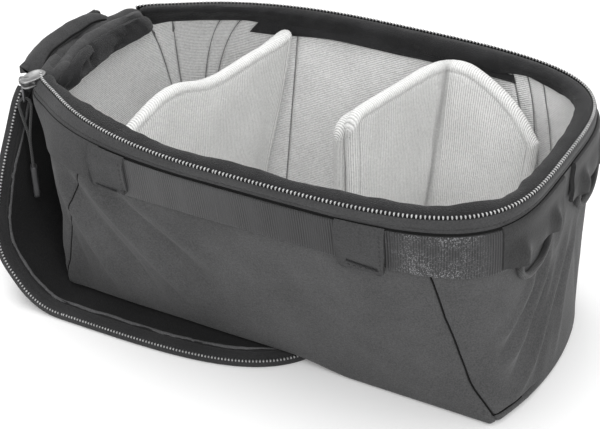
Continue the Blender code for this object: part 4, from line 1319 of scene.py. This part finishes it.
def lidPad(name, span, levels, material, joint, slot, nodes, fill):
    # one run of the lid's padding or lining over a span of its length, between two levels
    start, finish = span
    low, high = levels
    tip = finish > 0.2
    thin = high - low < 0.002
    places = pitched(start, finish, lid["pitch"])
    if tip:
        # closer towards the tip
        places = [place for place in places if place < finish - lid["tipPart"]]
        places += [finish - lid["tipPart"] * (1 - math.sin(turn)) for turn in spaced(0.0, quarter, 12)]
    steps = 56
    half = (high - low) / 2
    made = []
    for along in places:
        wide = lidHalfWidth(min(along, lidTip - 1e-6), padInset)
        line = []
        for side in (1, -1):
            for step in range(steps + 1):
                across = math.sin((2 * step / steps - 1) * quarter) * wide * side
                edge = min(wide - abs(across), (lidTip - along) if tip else 1.0)
                rounding = half * (1 - arch(edge / half))
                spot = lidPlace(along, across, 0.0)
                free = 1 - underBag(spot)
                level = low + rounding if side > 0 else high - rounding
                if side > 0 and not thin:
                    # the outer panel is recessed within a ridge at its edge
                    wave = wavy(along * 34.0, across * 34.0, 1.0)
                    fine = wavy(along * 90.0, across * 60.0, 5.0)
                    ridge = lid["ridge"] * (1 + 0.9 * fine) * bell(edge - 0.0014, lid["ridgeWidth"])
                    hollow = lid["recess"] * ease((edge - 0.002) / 0.006)
                    level += (hollow - ridge + 0.0008 * wave * ease(edge / 0.01)) * free + 0.0002 * (1 - free)
                elif side < 0 and thin:
                    # the lining hangs a little loose behind the lid
                    loose = max(0.0, 0.5 + wavy(along * 30.0, across * 30.0, 7.0))
                    level += 0.0009 * loose * ease(edge / 0.01) * ease((spot.z - 0.03) / 0.02)
                line.append(lidPlace(along, across, level))
        made.append(line)
    dress(lined(name, made, material), joint, slot, *nodes, fill=fill)


def foldJoint(near, far, place):
    # two bodies and the run of the lid over which it bends between them
    return (near, far, *(tuple(lidPlace(place + step, 0.0, 0.0)) for step in (-lid["fold"], lid["fold"])))


nearJoint = foldJoint("lid_near", "lid_corner", foldPlaces[0])
farJoint = foldJoint("lid_corner", "lid_far", foldPlaces[1])


def edgePlace(length, inset, level):
    # a point near the lid's edge, from its length round the rim's outline
    point = onWall(length, bag["height"], inset)
    return lidPlace(point.x - bag["originX"] - lid["hingeX"], point.y, level)


def lidTape(name, start, finish, joint, nodes):
    width = lid["tapeWidth"]
    section = [(0.0003, 0.0004), (0.0010, 0.0000), (0.0030, -0.0002), (0.0052, -0.0002), (0.0062, 0.0001),
               (0.0072, -0.0001), (width + 0.0006, 0.0002), (width + 0.0014, 0.0008), (width, 0.0014),
               (0.0060, 0.0012), (0.0036, 0.0013), (0.0030, 0.0026), (0.0024, 0.0042), (0.0008, 0.0043),
               (0.0003, 0.0036)]
    lengths = pitched(start, finish, lid["pitch"], 8)

    def place(column, row):
        inset, level = section[row]
        spot = edgePlace(lengths[column], inset, level)
        wave = 0.0004 * noise.noise(spot * 40.0) * (1 - underBag(spot))
        return edgePlace(lengths[column], inset, level + (wave if level < 0.001 else 0.0))

    piece = loft(name, len(lengths) - 1, len(section), place, "lidTape", smooth=50.0)
    dress(piece, joint, "zip_cloth", *nodes)


def lidPiping(name, start, finish, joint):
    # the recessed panel's edge, a bunched welt with kinks where it goes round the corners, in a lighter
    # colour that is a painted highlight on the welt
    path = []
    for length in pitched(start, finish, 0.0022):
        wander = 0.0012 * wavy(length * 55.0, 3.0, 0.0) + 0.0010 * abs(wavy(length * 150.0, 9.0, 0.0))
        inset = lid["pipingInset"] + wander
        path.append(edgePlace(length, inset, 0.0012 * underBag(edgePlace(length, inset, 0.0))))
    thread(name, path, lid["pipingRadius"], material="piping", body=joint)


def lidTooth(length):
    level, inset = 0.0003, 0.0008
    middle = edgePlace(length, inset, level)
    along = edgePlace(length + 0.0005, inset, level) - edgePlace(length - 0.0005, inset, level)
    inward = edgePlace(length, inset + 0.0012, level) - middle
    return frameMatrix(middle, along, along.cross(inward), lid["toothSize"])


def buildLid():
    level = bag["height"]
    first, last = lengthAt(level, -zipTurn), lengthAt(level, zipTurn)
    split = lengthAt(level, -turnAtX(lid["hingeX"] + lid["split"] + bag["originX"], level))
    other = first + last - split
    near, far = (lid["rootGap"], lid["split"]), (lid["split"], lidTip)
    outer, inner = (0.0004, 0.0036), (0.0037, 0.0046)
    # the outer pads take the near-black painted shade colour
    lidPad("lidNearPad", near, outer, "lidCoverShaded", nearJoint, "shell_cloth",
           ("lid_near_cover", "lid_near_padding", "lid_corner_cover", "lid_corner_padding"), 0.4)
    lidPad("lidFarPad", far, outer, "lidCoverShaded", farJoint, "shell_cloth",
           ("lid_far_cover", "lid_far_padding"), 0.4)
    lidPad("lidNearLining", near, inner, "lidInside", nearJoint, "dark_lining",
           ("lid_near_lining", "lid_corner_lining"), 0.2)
    lidPad("lidFarLining", far, inner, "lidInside", farJoint, "dark_lining", ("lid_far_lining",), 0.2)
    lidTape("lidNearTapeFront", first, split, nearJoint, ("lid_near_zip_front", "lid_corner_zip_front"))
    lidTape("lidNearTapeBack", other, last, nearJoint, ("lid_near_zip_back", "lid_corner_zip_back"))
    lidTape("lidFarTape", split, other, farJoint, ("lid_far_zip",))
    lidPiping("lidNearPipingFront", first + 0.004, split + 0.001, nearJoint)
    lidPiping("lidNearPipingBack", other - 0.001, last - 0.004, nearJoint)
    lidPiping("lidFarPiping", split - 0.001, other + 0.001, farJoint)
    nearTeeth, farTeeth = [], []
    for length in spaced(first + 0.001, last - 0.001, round((last - first) / lid["toothPitch"])):
        (farTeeth if split < length < other else nearTeeth).append(lidTooth(length))
    dress(buildTeeth("lidNearTeeth", nearTeeth), nearJoint, "teeth_metal")
    dress(buildTeeth("lidFarTeeth", farTeeth), farJoint, "teeth_metal")


buildLid()
print("lid")

# Hinge end: the cloth roll on the rim, the crest that carries the lid and the bunched velvet inside
hinge = dict(pitch=0.0014, shortBy=0.0006, crestReach=(-0.0425, 0.0320), crestPitch=0.0011)


def hingeLengths(pitch, further=0.0):
    total = lengthAt(bag["height"], math.pi)
    low = lengthAt(bag["height"], zipTurn) + hinge["shortBy"] - further
    high = total + lengthAt(bag["height"], -zipTurn) - hinge["shortBy"] + further
    return pitched(low, high, pitch)


def rollSwell(length, height, depth):
    slow = wavy(length * 50.0, depth * 120.0, 3.0)
    quick = wavy(length * 170.0, depth * 260.0, 9.0)
    fold = bell(math.sin(length * 118.0 + depth * 160.0 + 1.5 * slow), 0.30)
    up = ease((height - 0.124) / 0.004)
    inside = ease((depth - 0.006) / 0.004)
    return (0.0016 * slow + 0.0005 * quick - 0.0012 * fold) * up, 0.0013 * slow * inside


def velvetSwell(length, height, depth):
    # bunched cloth: soft bulges parted by slanting pinched folds
    slow = wavy(length * 30.0, height * 30.0, 6.0)
    fine = wavy(length * 110.0, height * 60.0, 1.0)
    fold = bell(math.sin(length * 62.0 + (height - 0.118) * 190.0 + 2.6 * slow), 0.34)
    # one long crease runs with the rim
    along = bell(height - 0.1215 - 0.0050 * wavy(length * 22.0, 0.0, 4.0), 0.0012)
    inside = ease((depth - 0.0110) / 0.005)
    lift = 0.0034 * ease((0.1200 - height) / 0.006)
    return (lift + (0.0024 * slow - 0.0008 * fold) * ease((height - 0.1100) / 0.004),
            (0.0008 + 0.0030 * slow + 0.0012 * fine - 0.0028 * fold - 0.0034 * along) * inside)


def buildHinge():
    section = [(0.1191, 0.0004), (0.1193, -0.0003), (0.1230, -0.0004), (0.1262, 0.0000), (0.1280, 0.0010),
               (0.1287, 0.0030), (0.1282, 0.0050), (0.1272, 0.0064), (0.1268, 0.0072), (0.1276, 0.0080),
               (0.1292, 0.0094), (0.1299, 0.0114), (0.1296, 0.0136), (0.1280, 0.0152), (0.1255, 0.0158),
               (0.1225, 0.0150), (0.1195, 0.0130), (0.1180, 0.0105), (0.1190, 0.0080), (0.1192, 0.0020)]
    roll = wallStrip("hingeRoll", hingeLengths(hinge["pitch"], 0.001), section, "tape", rollSwell,
                     smooth=60.0, ends=(0.008, 0.50, (0.1250, 0.0070)))
    dress(roll, "bag", "shell_cloth", "hinge_strip", fill=0.6)
    section = [(0.1268, 0.0135), (0.1282, 0.0152), (0.1280, 0.0176), (0.1262, 0.0200), (0.1235, 0.0216),
               (0.1205, 0.0224), (0.1175, 0.0222), (0.1150, 0.0206), (0.1130, 0.0180), (0.1112, 0.0148),
               (0.1098, 0.0116), (0.1090, 0.0094), (0.1120, 0.0091), (0.1170, 0.0105), (0.1225, 0.0128)]
    velvet = wallStrip("hingeVelvet", hingeLengths(hinge["pitch"], 0.004), section, "guard", velvetSwell,
                       smooth=60.0, ends=(0.013, 0.30, (0.1200, 0.0115)))
    dress(velvet, "bag", "guard_pile", "hinge_fold", fill=0.5)
    buildCrest()


def buildCrest():
    # an arched strip across the hinge: sewn to the roll on one side, to the lid's root on the other
    low, high = hinge["crestReach"]
    path = [(-0.1428, 0.1290), (-0.1440, 0.1312), (-0.1461, 0.1328), (-0.1487, 0.1336), (-0.1512, 0.1334),
            (-0.1532, 0.1322), (-0.1545, 0.1303), (-0.1550, 0.1282), (-0.1548, 0.1262), (-0.1540, 0.1250),
            (-0.1528, 0.1252), (-0.1522, 0.1270), (-0.1515, 0.1290), (-0.1500, 0.1305), (-0.1478, 0.1308),
            (-0.1458, 0.1300), (-0.1442, 0.1286), (-0.1430, 0.1282)]
    root = 0.1262
    steps = pitched(low, high, hinge["crestPitch"])

    def place(column, row):
        across = steps[column]
        x, z = path[row]
        share = abs(across - (low + high) / 2) / ((high - low) / 2)
        wave = wavy(across * 70.0, row * 0.35, 2.0)
        fine = wavy(across * 210.0, row * 0.6, 7.0)
        fall = ease((z - 0.1255) / 0.004)
        pull = 0.0046 * share ** 3 * (1.0 if x > -0.1540 else 0.3)
        rise = (z - root) * (1 - 0.30 * share ** 4) - 0.0080 * share ** 5 * fall
        rise += (0.0011 * wave + 0.0004 * fine) * fall
        return Vector((x + pull + 0.0006 * fine, across, root + rise))

    piece = loft("hingeCrest", len(steps) - 1, len(path), place, "crestShadedCloth", smooth=60.0)
    dress(piece, ("bag", "lid_near", (-0.1455, 0.0, 0.1318), (-0.1540, 0.0, 0.1300)), "shell_cloth")
    # painted shadow: a near-black line in the groove of the crest's seam
    line = [place(column, 0).lerp(place(column, 1), 0.45) for column in range(len(steps))]
    thread("hingeSeamShadow", line, 0.0006)


buildHinge()
print("hinge end")

# Pieces sewn on the walls
trims = dict(webbingLow=0.0940, webbingHigh=0.1180, webbingDepths=(-0.0022, -0.0006), ribPitch=0.00140,
             ribDepth=0.00030, webbingEndY=0.0600, webbingEndX=-0.0720, tabDepths=(-0.0038, -0.0026),
             tabTop=0.1192, tabCorner=0.0042, leftTab=(-0.0760, -0.0520, 0.0955),
             rightTab=(0.0695, 0.0945, 0.0905), endTabLow=0.0955, endTabReach=(0.0070, 0.0630),
             cordSwell=0.0042, cordWidth=0.0042, stitchPitch=0.0030, stitchLength=0.0021, bandTurn=159.0)


def wallPatch(name, sign, edges, levels, depths, shares, material, lift=None, smooth=45.0):
    # a slab on the wall: edges(level) gives the turns at its two ends, lift(share, level, depth) how far a
    # point of it stands off
    outer, inner = depths
    thick = inner - outer
    low, high = levels[0], levels[-1]
    section = [(low, inner - 0.5 * thick), (low + 0.25 * thick, outer + 0.1 * thick)]
    section += [(level, outer) for level in levels[1:-1]]
    section += [(high - 0.25 * thick, outer + 0.1 * thick), (high, inner - 0.5 * thick)]
    section += [(high - 0.25 * thick, inner)] + [(level, inner) for level in reversed(levels[1:-1])]
    section += [(low + 0.25 * thick, inner)]

    def place(column, row):
        level, depth = section[row]
        start, finish = edges(level)
        share = shares[column]
        turn = turnAt(level, mix(lengthAt(level, sign * start), lengthAt(level, sign * finish), share))
        more = lift(share, level, depth) if lift else 0.0
        return skinPoint(turn, level, depth - more)

    return loft(name, len(shares) - 1, len(section), place, material, smooth=smooth)


def webbingEdges(level):
    return turnAtY(trims["webbingEndY"], level), turnAtX(trims["webbingEndX"], level)


def tabEdges(span):
    def edges(level):
        # the lower corners are rounded
        left, right, low = span
        corner = trims["tabCorner"]
        up = min(corner, max(0.0, level - low))
        inset = corner - math.sqrt(corner ** 2 - (corner - up) ** 2)
        return turnAtX(right - inset, level), turnAtX(left + inset, level)
    return edges


def tabLevels(low, high):
    # close together at the rounded corners
    near = [low + rise for rise in (0.0, 0.0003, 0.0008, 0.0016, 0.0026, 0.0042)]
    return near + spaced(low + 0.0062, high, 8)


def buildWebbing(side, sign):
    run = lengthAt(0.106, webbingEdges(0.106)[1]) - lengthAt(0.106, webbingEdges(0.106)[0])
    ribs = round(run / trims["ribPitch"])
    shares = spaced(0.0, 1.0, ribs * 3)

    def lift(share, level, depth):
        if depth > trims["webbingDepths"][0] + 0.0004:
            return 0.0
        wave = 0.0005 * wavy(share * 9.0, level * 20.0, sign)
        return trims["ribDepth"] * (math.cos(2 * math.pi * share * ribs) - 1) / 2 + wave

    low, high = trims["webbingLow"], trims["webbingHigh"]
    levels = [low, *spaced(low + 0.0012, high - 0.0012, 7), high]
    piece = wallPatch(side + "Webbing", sign, webbingEdges, levels, trims["webbingDepths"], shares,
                      "webbing", lift)
    dress(piece, "bag", "webbing_cloth", side + "_webbing")


def edgeStitches(sign, spots):
    # stitches along a line of (turn, level, depth) spots
    places = []
    for (turn, level, depth), (nextTurn, nextLevel, nextDepth) in zip(spots, spots[1:]):
        here = skinPoint(sign * turn, level, depth)
        there = skinPoint(sign * nextTurn, nextLevel, nextDepth)
        _, outward = wallPlace(sign * turn, level)
        size = (trims["stitchLength"], 0.0004, 0.00045)
        places.append((here.lerp(there, 0.5), there - here, outward, size))
    return places


def buildTab(side, sign, name, span, tackSpan):
    left, right, low = span
    high = trims["tabTop"]
    depths = trims["tabDepths"]
    seed = left * 100 + sign

    def lift(share, level, depth):
        # the tab's edges stand off a little, its middle is drawn in by the sewing
        edge = min(share, 1 - share)
        lifted = 0.0007 * math.exp(-edge / 0.05) + 0.0006 * wavy(share * 2.5, level * 70.0, seed)
        return lifted * ease((high - level) / 0.006) - 0.0016 * ease((level - high + 0.004) / 0.004)

    shares = [0.0, 0.008, 0.025, 0.05, 0.08] + spaced(0.11, 0.89, 20) + [0.92, 0.95, 0.975, 0.992, 1.0]
    piece = wallPatch(side + name, sign, tabEdges(span), tabLevels(low, high), depths, shares, "tabs", lift)
    dress(piece, "bag", "shell_cloth", side + ("_left_tab" if name == "LeftTab" else "_right_tab"))
    inset = 0.0024
    rim = []
    for level in np.arange(high - 0.003, low + inset, -trims["stitchPitch"]):
        rim.append((turnAtX(right - inset, level), level, depths[0] - 0.0003))
    for x in np.arange(right - inset, left + inset, -trims["stitchPitch"]):
        rim.append((turnAtX(x, low + inset), low + inset, depths[0] - 0.0002))
    label = side + name
    dress(stitches(label + "EdgeStitches", edgeStitches(sign, rim), "tabs"), "bag", "shell_cloth")
    places = []
    # bar tack: close threads across the sewing line
    tackStart, tackFinish, tackLow, tackHigh = tackSpan
    for x in pitched(tackStart, tackFinish, 0.0006):
        level = mix(tackLow, tackHigh, (x - tackStart) / (tackFinish - tackStart))
        turn = sign * turnAtX(x, level)
        _, outward = wallPlace(turn, level)
        places.append((skinPoint(turn, level, depths[0] - 0.0002), Vector((0.12, 0.0, 1.0)), outward,
                       (0.0019, 0.0005, 0.0007)))
    dress(stitches(label + "Tack", places), "bag", "shell_cloth")


def buildCornerBand(side, sign):
    # the left tab's cloth runs on round the corner of the hinge end
    def edges(level):
        return turnAtX(trims["leftTab"][0] + 0.006, level), math.radians(trims["bandTurn"])

    def lift(share, level, depth):
        wave = 0.0004 * wavy(share * 7.0, level * 40.0, sign * 5.0)
        return wave * ease((0.1150 - level) / 0.01) * ease((1 - share) / 0.1)

    low, high = trims["leftTab"][2] + 0.0006, trims["tabTop"]
    levels = [low, low + 0.0006, low + 0.0016, *spaced(low + 0.004, high, 8)]
    piece = wallPatch(side + "CornerBand", sign, edges, levels, (-0.0013, -0.0003), spaced(0.0, 1.0, 60),
                      "tabs", lift)
    dress(piece, "bag", "shell_cloth")


def buildEndTab(side, sign):
    near, far = trims["endTabReach"]
    low, high = trims["endTabLow"], trims["tabTop"]

    def edges(level):
        return turnAtY(near, level), turnAtY(far, level)

    def lift(share, level, depth):
        # the lower fold swells over the cord's two ends
        reach = mix(near, far, share)
        cords = bell(reach - loops["innerReach"], trims["cordWidth"])
        cords += bell(reach - loops["outerReach"], trims["cordWidth"])
        swell = trims["cordSwell"] * min(1.0, cords) + 0.0012
        wave = 0.0006 * wavy(share * 6.0, level * 60.0, sign * 3.0)
        fade = ease((0.1110 - level) / 0.010) * ease((1 - share) / 0.10)
        outer = 1.0 if depth < -0.0011 else 0.92
        return (swell * fade * outer + wave * fade) - 0.0004 * ease((level - high + 0.004) / 0.004)

    levels = [low, low + 0.0005, low + 0.0014, *spaced(low + 0.003, high, 10)]
    piece = wallPatch(side + "EndTab", sign, edges, levels, (-0.0026, -0.0004), spaced(0.0, 1.0, 44),
                      "endTab", lift)
    dress(piece, "bag", "shell_cloth", side + "_end_tab")
    level = low + 0.0088
    spots = [(turnAtY(reach, level), level, -0.0030)
             for reach in np.arange(near + 0.003, far - 0.002, trims["stitchPitch"])]
    dress(stitches(side + "EndTabStitches", edgeStitches(sign, spots), "endTab"), "bag", "shell_cloth")


for side, sign in (("front", -1), ("back", 1)):
    buildWebbing(side, sign)
    buildTab(side, sign, "LeftTab", trims["leftTab"], (-0.0715, -0.0590, 0.0975, 0.0968))
    buildTab(side, sign, "RightTab", trims["rightTab"], (0.0747, 0.0903, 0.0957, 0.0933))
    buildCornerBand(side, sign)
    buildEndTab(side, sign)
print("trims")

# Dividers: long flat cushions, each with a sewn line inside its edge
# Each runs along its plan by offsets, and tops gives its height there
dividers = dict(thickness=0.0080, rounding=0.0033, seam=0.0050, seamWidth=0.0007, seamDepth=0.0007,
                pitch=0.0034, puff=0.0009, foot=0.0135, clear=0.0016, bend=0.0075, edgePart=0.0110,
                bendLevel=0.06)
innerTables = {}


def innerHalfWidth(x, height):
    # half the clear width between the linings
    key = round(height, 4)
    if key not in innerTables:
        points = [wallPoint(math.pi * (1 - share), height, bag["wallDepth"])
                  for share in spaced(0.0, 1.0, 500)]
        innerTables[key] = ([point.x for point in points], [point.y for point in points])
    return float(np.interp(x, *innerTables[key]))


def wallReach(x, height):
    # how far a divider at x may reach from the bag's middle line, x from the outline's middle
    return innerHalfWidth(x + bag["originX"], height) - dividers["clear"]


def edged(total, pitch):
    # offsets over a length, close together near both ends
    edge = dividers["edgePart"]
    close = [0.0, 0.0002, 0.0007, 0.0015, 0.0024, 0.0033, 0.0042, 0.0050, 0.0058, 0.0070, 0.0088]
    middle = pitched(edge, total - edge, pitch, 3)
    return close + middle + [total - offset for offset in reversed(close)]


def stretchedTo(offset, nominal, total):
    # the same offset on a longer or shorter side, with its edge part unchanged
    edge = dividers["edgePart"]
    if offset <= edge:
        return offset
    if offset >= nominal - edge:
        return total - (nominal - offset)
    return edge + (offset - edge) * (total - 2 * edge) / (nominal - 2 * edge)


def buildPad(name, plan, span, top, seed, swell=None):
    # plan(offset, height) gives a middle point and the way across; span(height) the offsets of its two ends
    foot = dividers["foot"]
    thick = dividers["thickness"] / 2
    middleStart, middleFinish = span(0.07)
    nominalLong = middleFinish - middleStart
    nominalHigh = 0.100
    ups = edged(nominalHigh, dividers["pitch"])
    made = []
    for along in edged(nominalLong, dividers["pitch"]):
        line = []
        for up, side in [(up, 1) for up in ups] + [(up, -1) for up in reversed(ups)]:
            place = middleStart + along
            for _ in range(2):
                # the top depends on the place and the place on the height
                high = top(place)
                height = foot + stretchedTo(up, nominalHigh, high - foot)
                start, finish = span(height)
                place = start + stretchedTo(along, nominalLong, finish - start)
            slope = (top(place + 0.002) - top(place - 0.002)) / 0.004
            drop = (high - height) / math.sqrt(1 + slope ** 2)
            edge = max(0.0, min(place - start, finish - place, height - foot, drop))
            full = arch(edge / dividers["rounding"])
            point, across = plan(place, height)
            wave = wavy(place * 26.0, height * 26.0, seed)
            puff = dividers["puff"] * (0.55 + wave) * ease((edge - 0.006) / 0.012)
            crease = 0.0009 * wavy(place * 80.0, height * 45.0, seed + side * 4.0) * ease(edge / 0.006)
            groove = dividers["seamDepth"] * bell(edge - dividers["seam"], dividers["seamWidth"])
            wander = 0.0009 * wavy(place * 30.0, height * 30.0, seed + 9.0)
            wide = thick * (swell(place) if swell else 1.0) * full
            line.append(point + across * (side * (wide + puff - groove * (edge > 0.0035) + crease) + wander))
        made.append(line)
    return lined(name, made, "divider", smooth=70.0)


def bendPlan(corner, before, after, radius):
    # a plan that turns from one heading to another at corner(height)
    near, far = before.normalized(), after.normalized()

    def plan(offset, height):
        point, run = turning(corner(height), near, far, offset, radius)
        return Vector((point.x, point.y, height)), Vector((-run.y, run.x, 0.0))
    return plan


def smoothLevel(offset, table):
    # height read from a table of offsets, rounded between its steps
    shifts = (-0.004, -0.002, 0.0, 0.002, 0.004)
    return float(sum(np.interp(offset + shift, *zip(*table)) for shift in shifts) / len(shifts))


leftPlace = dict(x=-0.066, fold=0.012, foldRound=0.012, backX=-0.070, wingTurn=math.radians(13),
                 lean=0.0145, leanLength=0.064, leanHeight=0.118,
                 tops=((-0.090, 0.0990), (-0.075, 0.1045), (-0.065, 0.1080), (-0.055, 0.1130),
                       (-0.045, 0.1175), (-0.035, 0.1200), (-0.025, 0.1198), (-0.015, 0.1170),
                       (-0.005, 0.1135), (0.005, 0.1120), (0.015, 0.1122), (0.035, 0.1136),
                       (0.045, 0.1142), (0.055, 0.1157), (0.064, 0.1185)))
rightPlace = dict(x=0.027, front=-0.007, turn=math.radians(12), wingLength=0.060, wingTurn=math.radians(-7),
                  frontTop=0.1160, frontChamfer=0.030, frontCorner=0.009, wingCorner=0.012, topLevel=0.118,
                  tops=((-0.090, 0.1235), (-0.020, 0.1240), (-0.010, 0.1225), (0.000, 0.1215),
                        (0.010, 0.1232), (0.018, 0.1228), (0.030, 0.1182), (0.040, 0.1130),
                        (0.050, 0.1058), (0.060, 0.0955), (0.066, 0.0880)))


def leftWingLength(height):
    sine, cosine = math.sin(leftPlace["wingTurn"]), math.cos(leftPlace["wingTurn"])
    straight = wallReach(leftPlace["x"], height) + leftPlace["fold"]
    length = straight
    for _ in range(5):
        tipX = leftPlace["x"] - dividers["thickness"] / 2 - length * sine
        length = (wallReach(tipX, height) + leftPlace["fold"]) / cosine
    return min(length, straight)


def buildLeftDivider():
    fold = Vector((leftPlace["x"] + bag["originX"], leftPlace["fold"], 0.0))
    turn = leftPlace["wingTurn"]
    wingWay = Vector((math.sin(turn), math.cos(turn), 0.0))
    straight = bendPlan(lambda height: fold, wingWay, Vector((0.0, 1.0, 0.0)), leftPlace["foldRound"])

    def plan(offset, height):
        # the back part leans towards the middle, more at its top
        point, across = straight(offset, height)
        share = max(0.0, offset) / leftPlace["leanLength"]
        shift = leftPlace["lean"] * share ** 1.3 * height / leftPlace["leanHeight"]
        return point + Vector((shift, 0.0, 0.0)), across

    def span(height):
        return -leftWingLength(height) + 0.0004, wallReach(leftPlace["backX"], height) - leftPlace["fold"]

    def top(offset):
        return smoothLevel(offset, leftPlace["tops"])

    def swell(offset):
        # fuller at its back end
        return 1 + 0.30 * ease((offset - 0.044) / 0.012)

    piece = buildPad("leftDivider", plan, span, top, 1.0, swell)
    level = dividers["bendLevel"]
    bend = ((fold.x, fold.y + 0.010, level), (fold.x - 0.0023, fold.y - 0.010, level))
    dress(piece, ("left_divider", "left_wing", *bend), "divider_cloth", "left_divider", "left_divider_wing",
          fill=0.6)


def buildRightDivider():
    turn = rightPlace["turn"]
    across = Vector((math.cos(turn), -math.sin(turn), 0.0))
    forward = Vector((math.sin(turn), math.cos(turn), 0.0))
    heading = Vector((math.cos(rightPlace["wingTurn"]), math.sin(rightPlace["wingTurn"]), 0.0))
    pivot = Vector((rightPlace["x"] + bag["originX"], rightPlace["front"], 0.0))
    farX = rightPlace["x"] + math.sin(turn) * bag["rimWidth"] / 2
    middle = 0.0004 + dividers["thickness"] / 2

    def backReach(height):
        return (wallReach(farX, height) - rightPlace["front"]) / math.cos(turn) - middle

    def corner(height):
        return pivot + across * middle + forward * backReach(height)

    plan = bendPlan(corner, forward, heading, dividers["bend"])

    def span(height):
        return 0.0004 - backReach(height), rightPlace["wingLength"] + 0.0044

    frontEnd = span(rightPlace["topLevel"])[0]

    def top(offset):
        rounding = rightPlace["frontCorner"] * (1 - arch((offset - frontEnd) / rightPlace["frontCorner"]))
        return smoothLevel(offset, rightPlace["tops"]) - rounding

    piece = buildPad("rightDivider", plan, span, top, 2.0)
    bend = [tuple(plan(offset, dividers["bendLevel"])[0]) for offset in (-0.010, 0.010)]
    dress(piece, ("right_divider", "right_back_wing", *bend), "divider_cloth", "right_divider",
          "right_divider_back_wing", fill=0.6)

    def frontPlan(offset, height):
        point = pivot - across * middle + forward * offset
        return Vector((point.x, point.y, height)), across

    def frontSpan(height):
        level = min(height, rightPlace["frontTop"] - rightPlace["frontChamfer"])
        return 0.0010, wallReach(rightPlace["x"], level) + rightPlace["front"]

    reach = frontSpan(0.2)[1]

    def frontTop(offset):
        over = offset - (reach - rightPlace["frontChamfer"])
        rounding = rightPlace["wingCorner"] * (1 - arch((offset - 0.001) / rightPlace["wingCorner"]))
        return rightPlace["frontTop"] - rounding - (over * ease(over / 0.008) if over > 0 else 0.0)

    wing = buildPad("rightFrontWing", frontPlan, frontSpan, frontTop, 3.0)
    dress(wing, "right_front_wing", "divider_cloth", "right_divider_front_wing", fill=0.6)


buildLeftDivider()
buildRightDivider()
print("dividers")
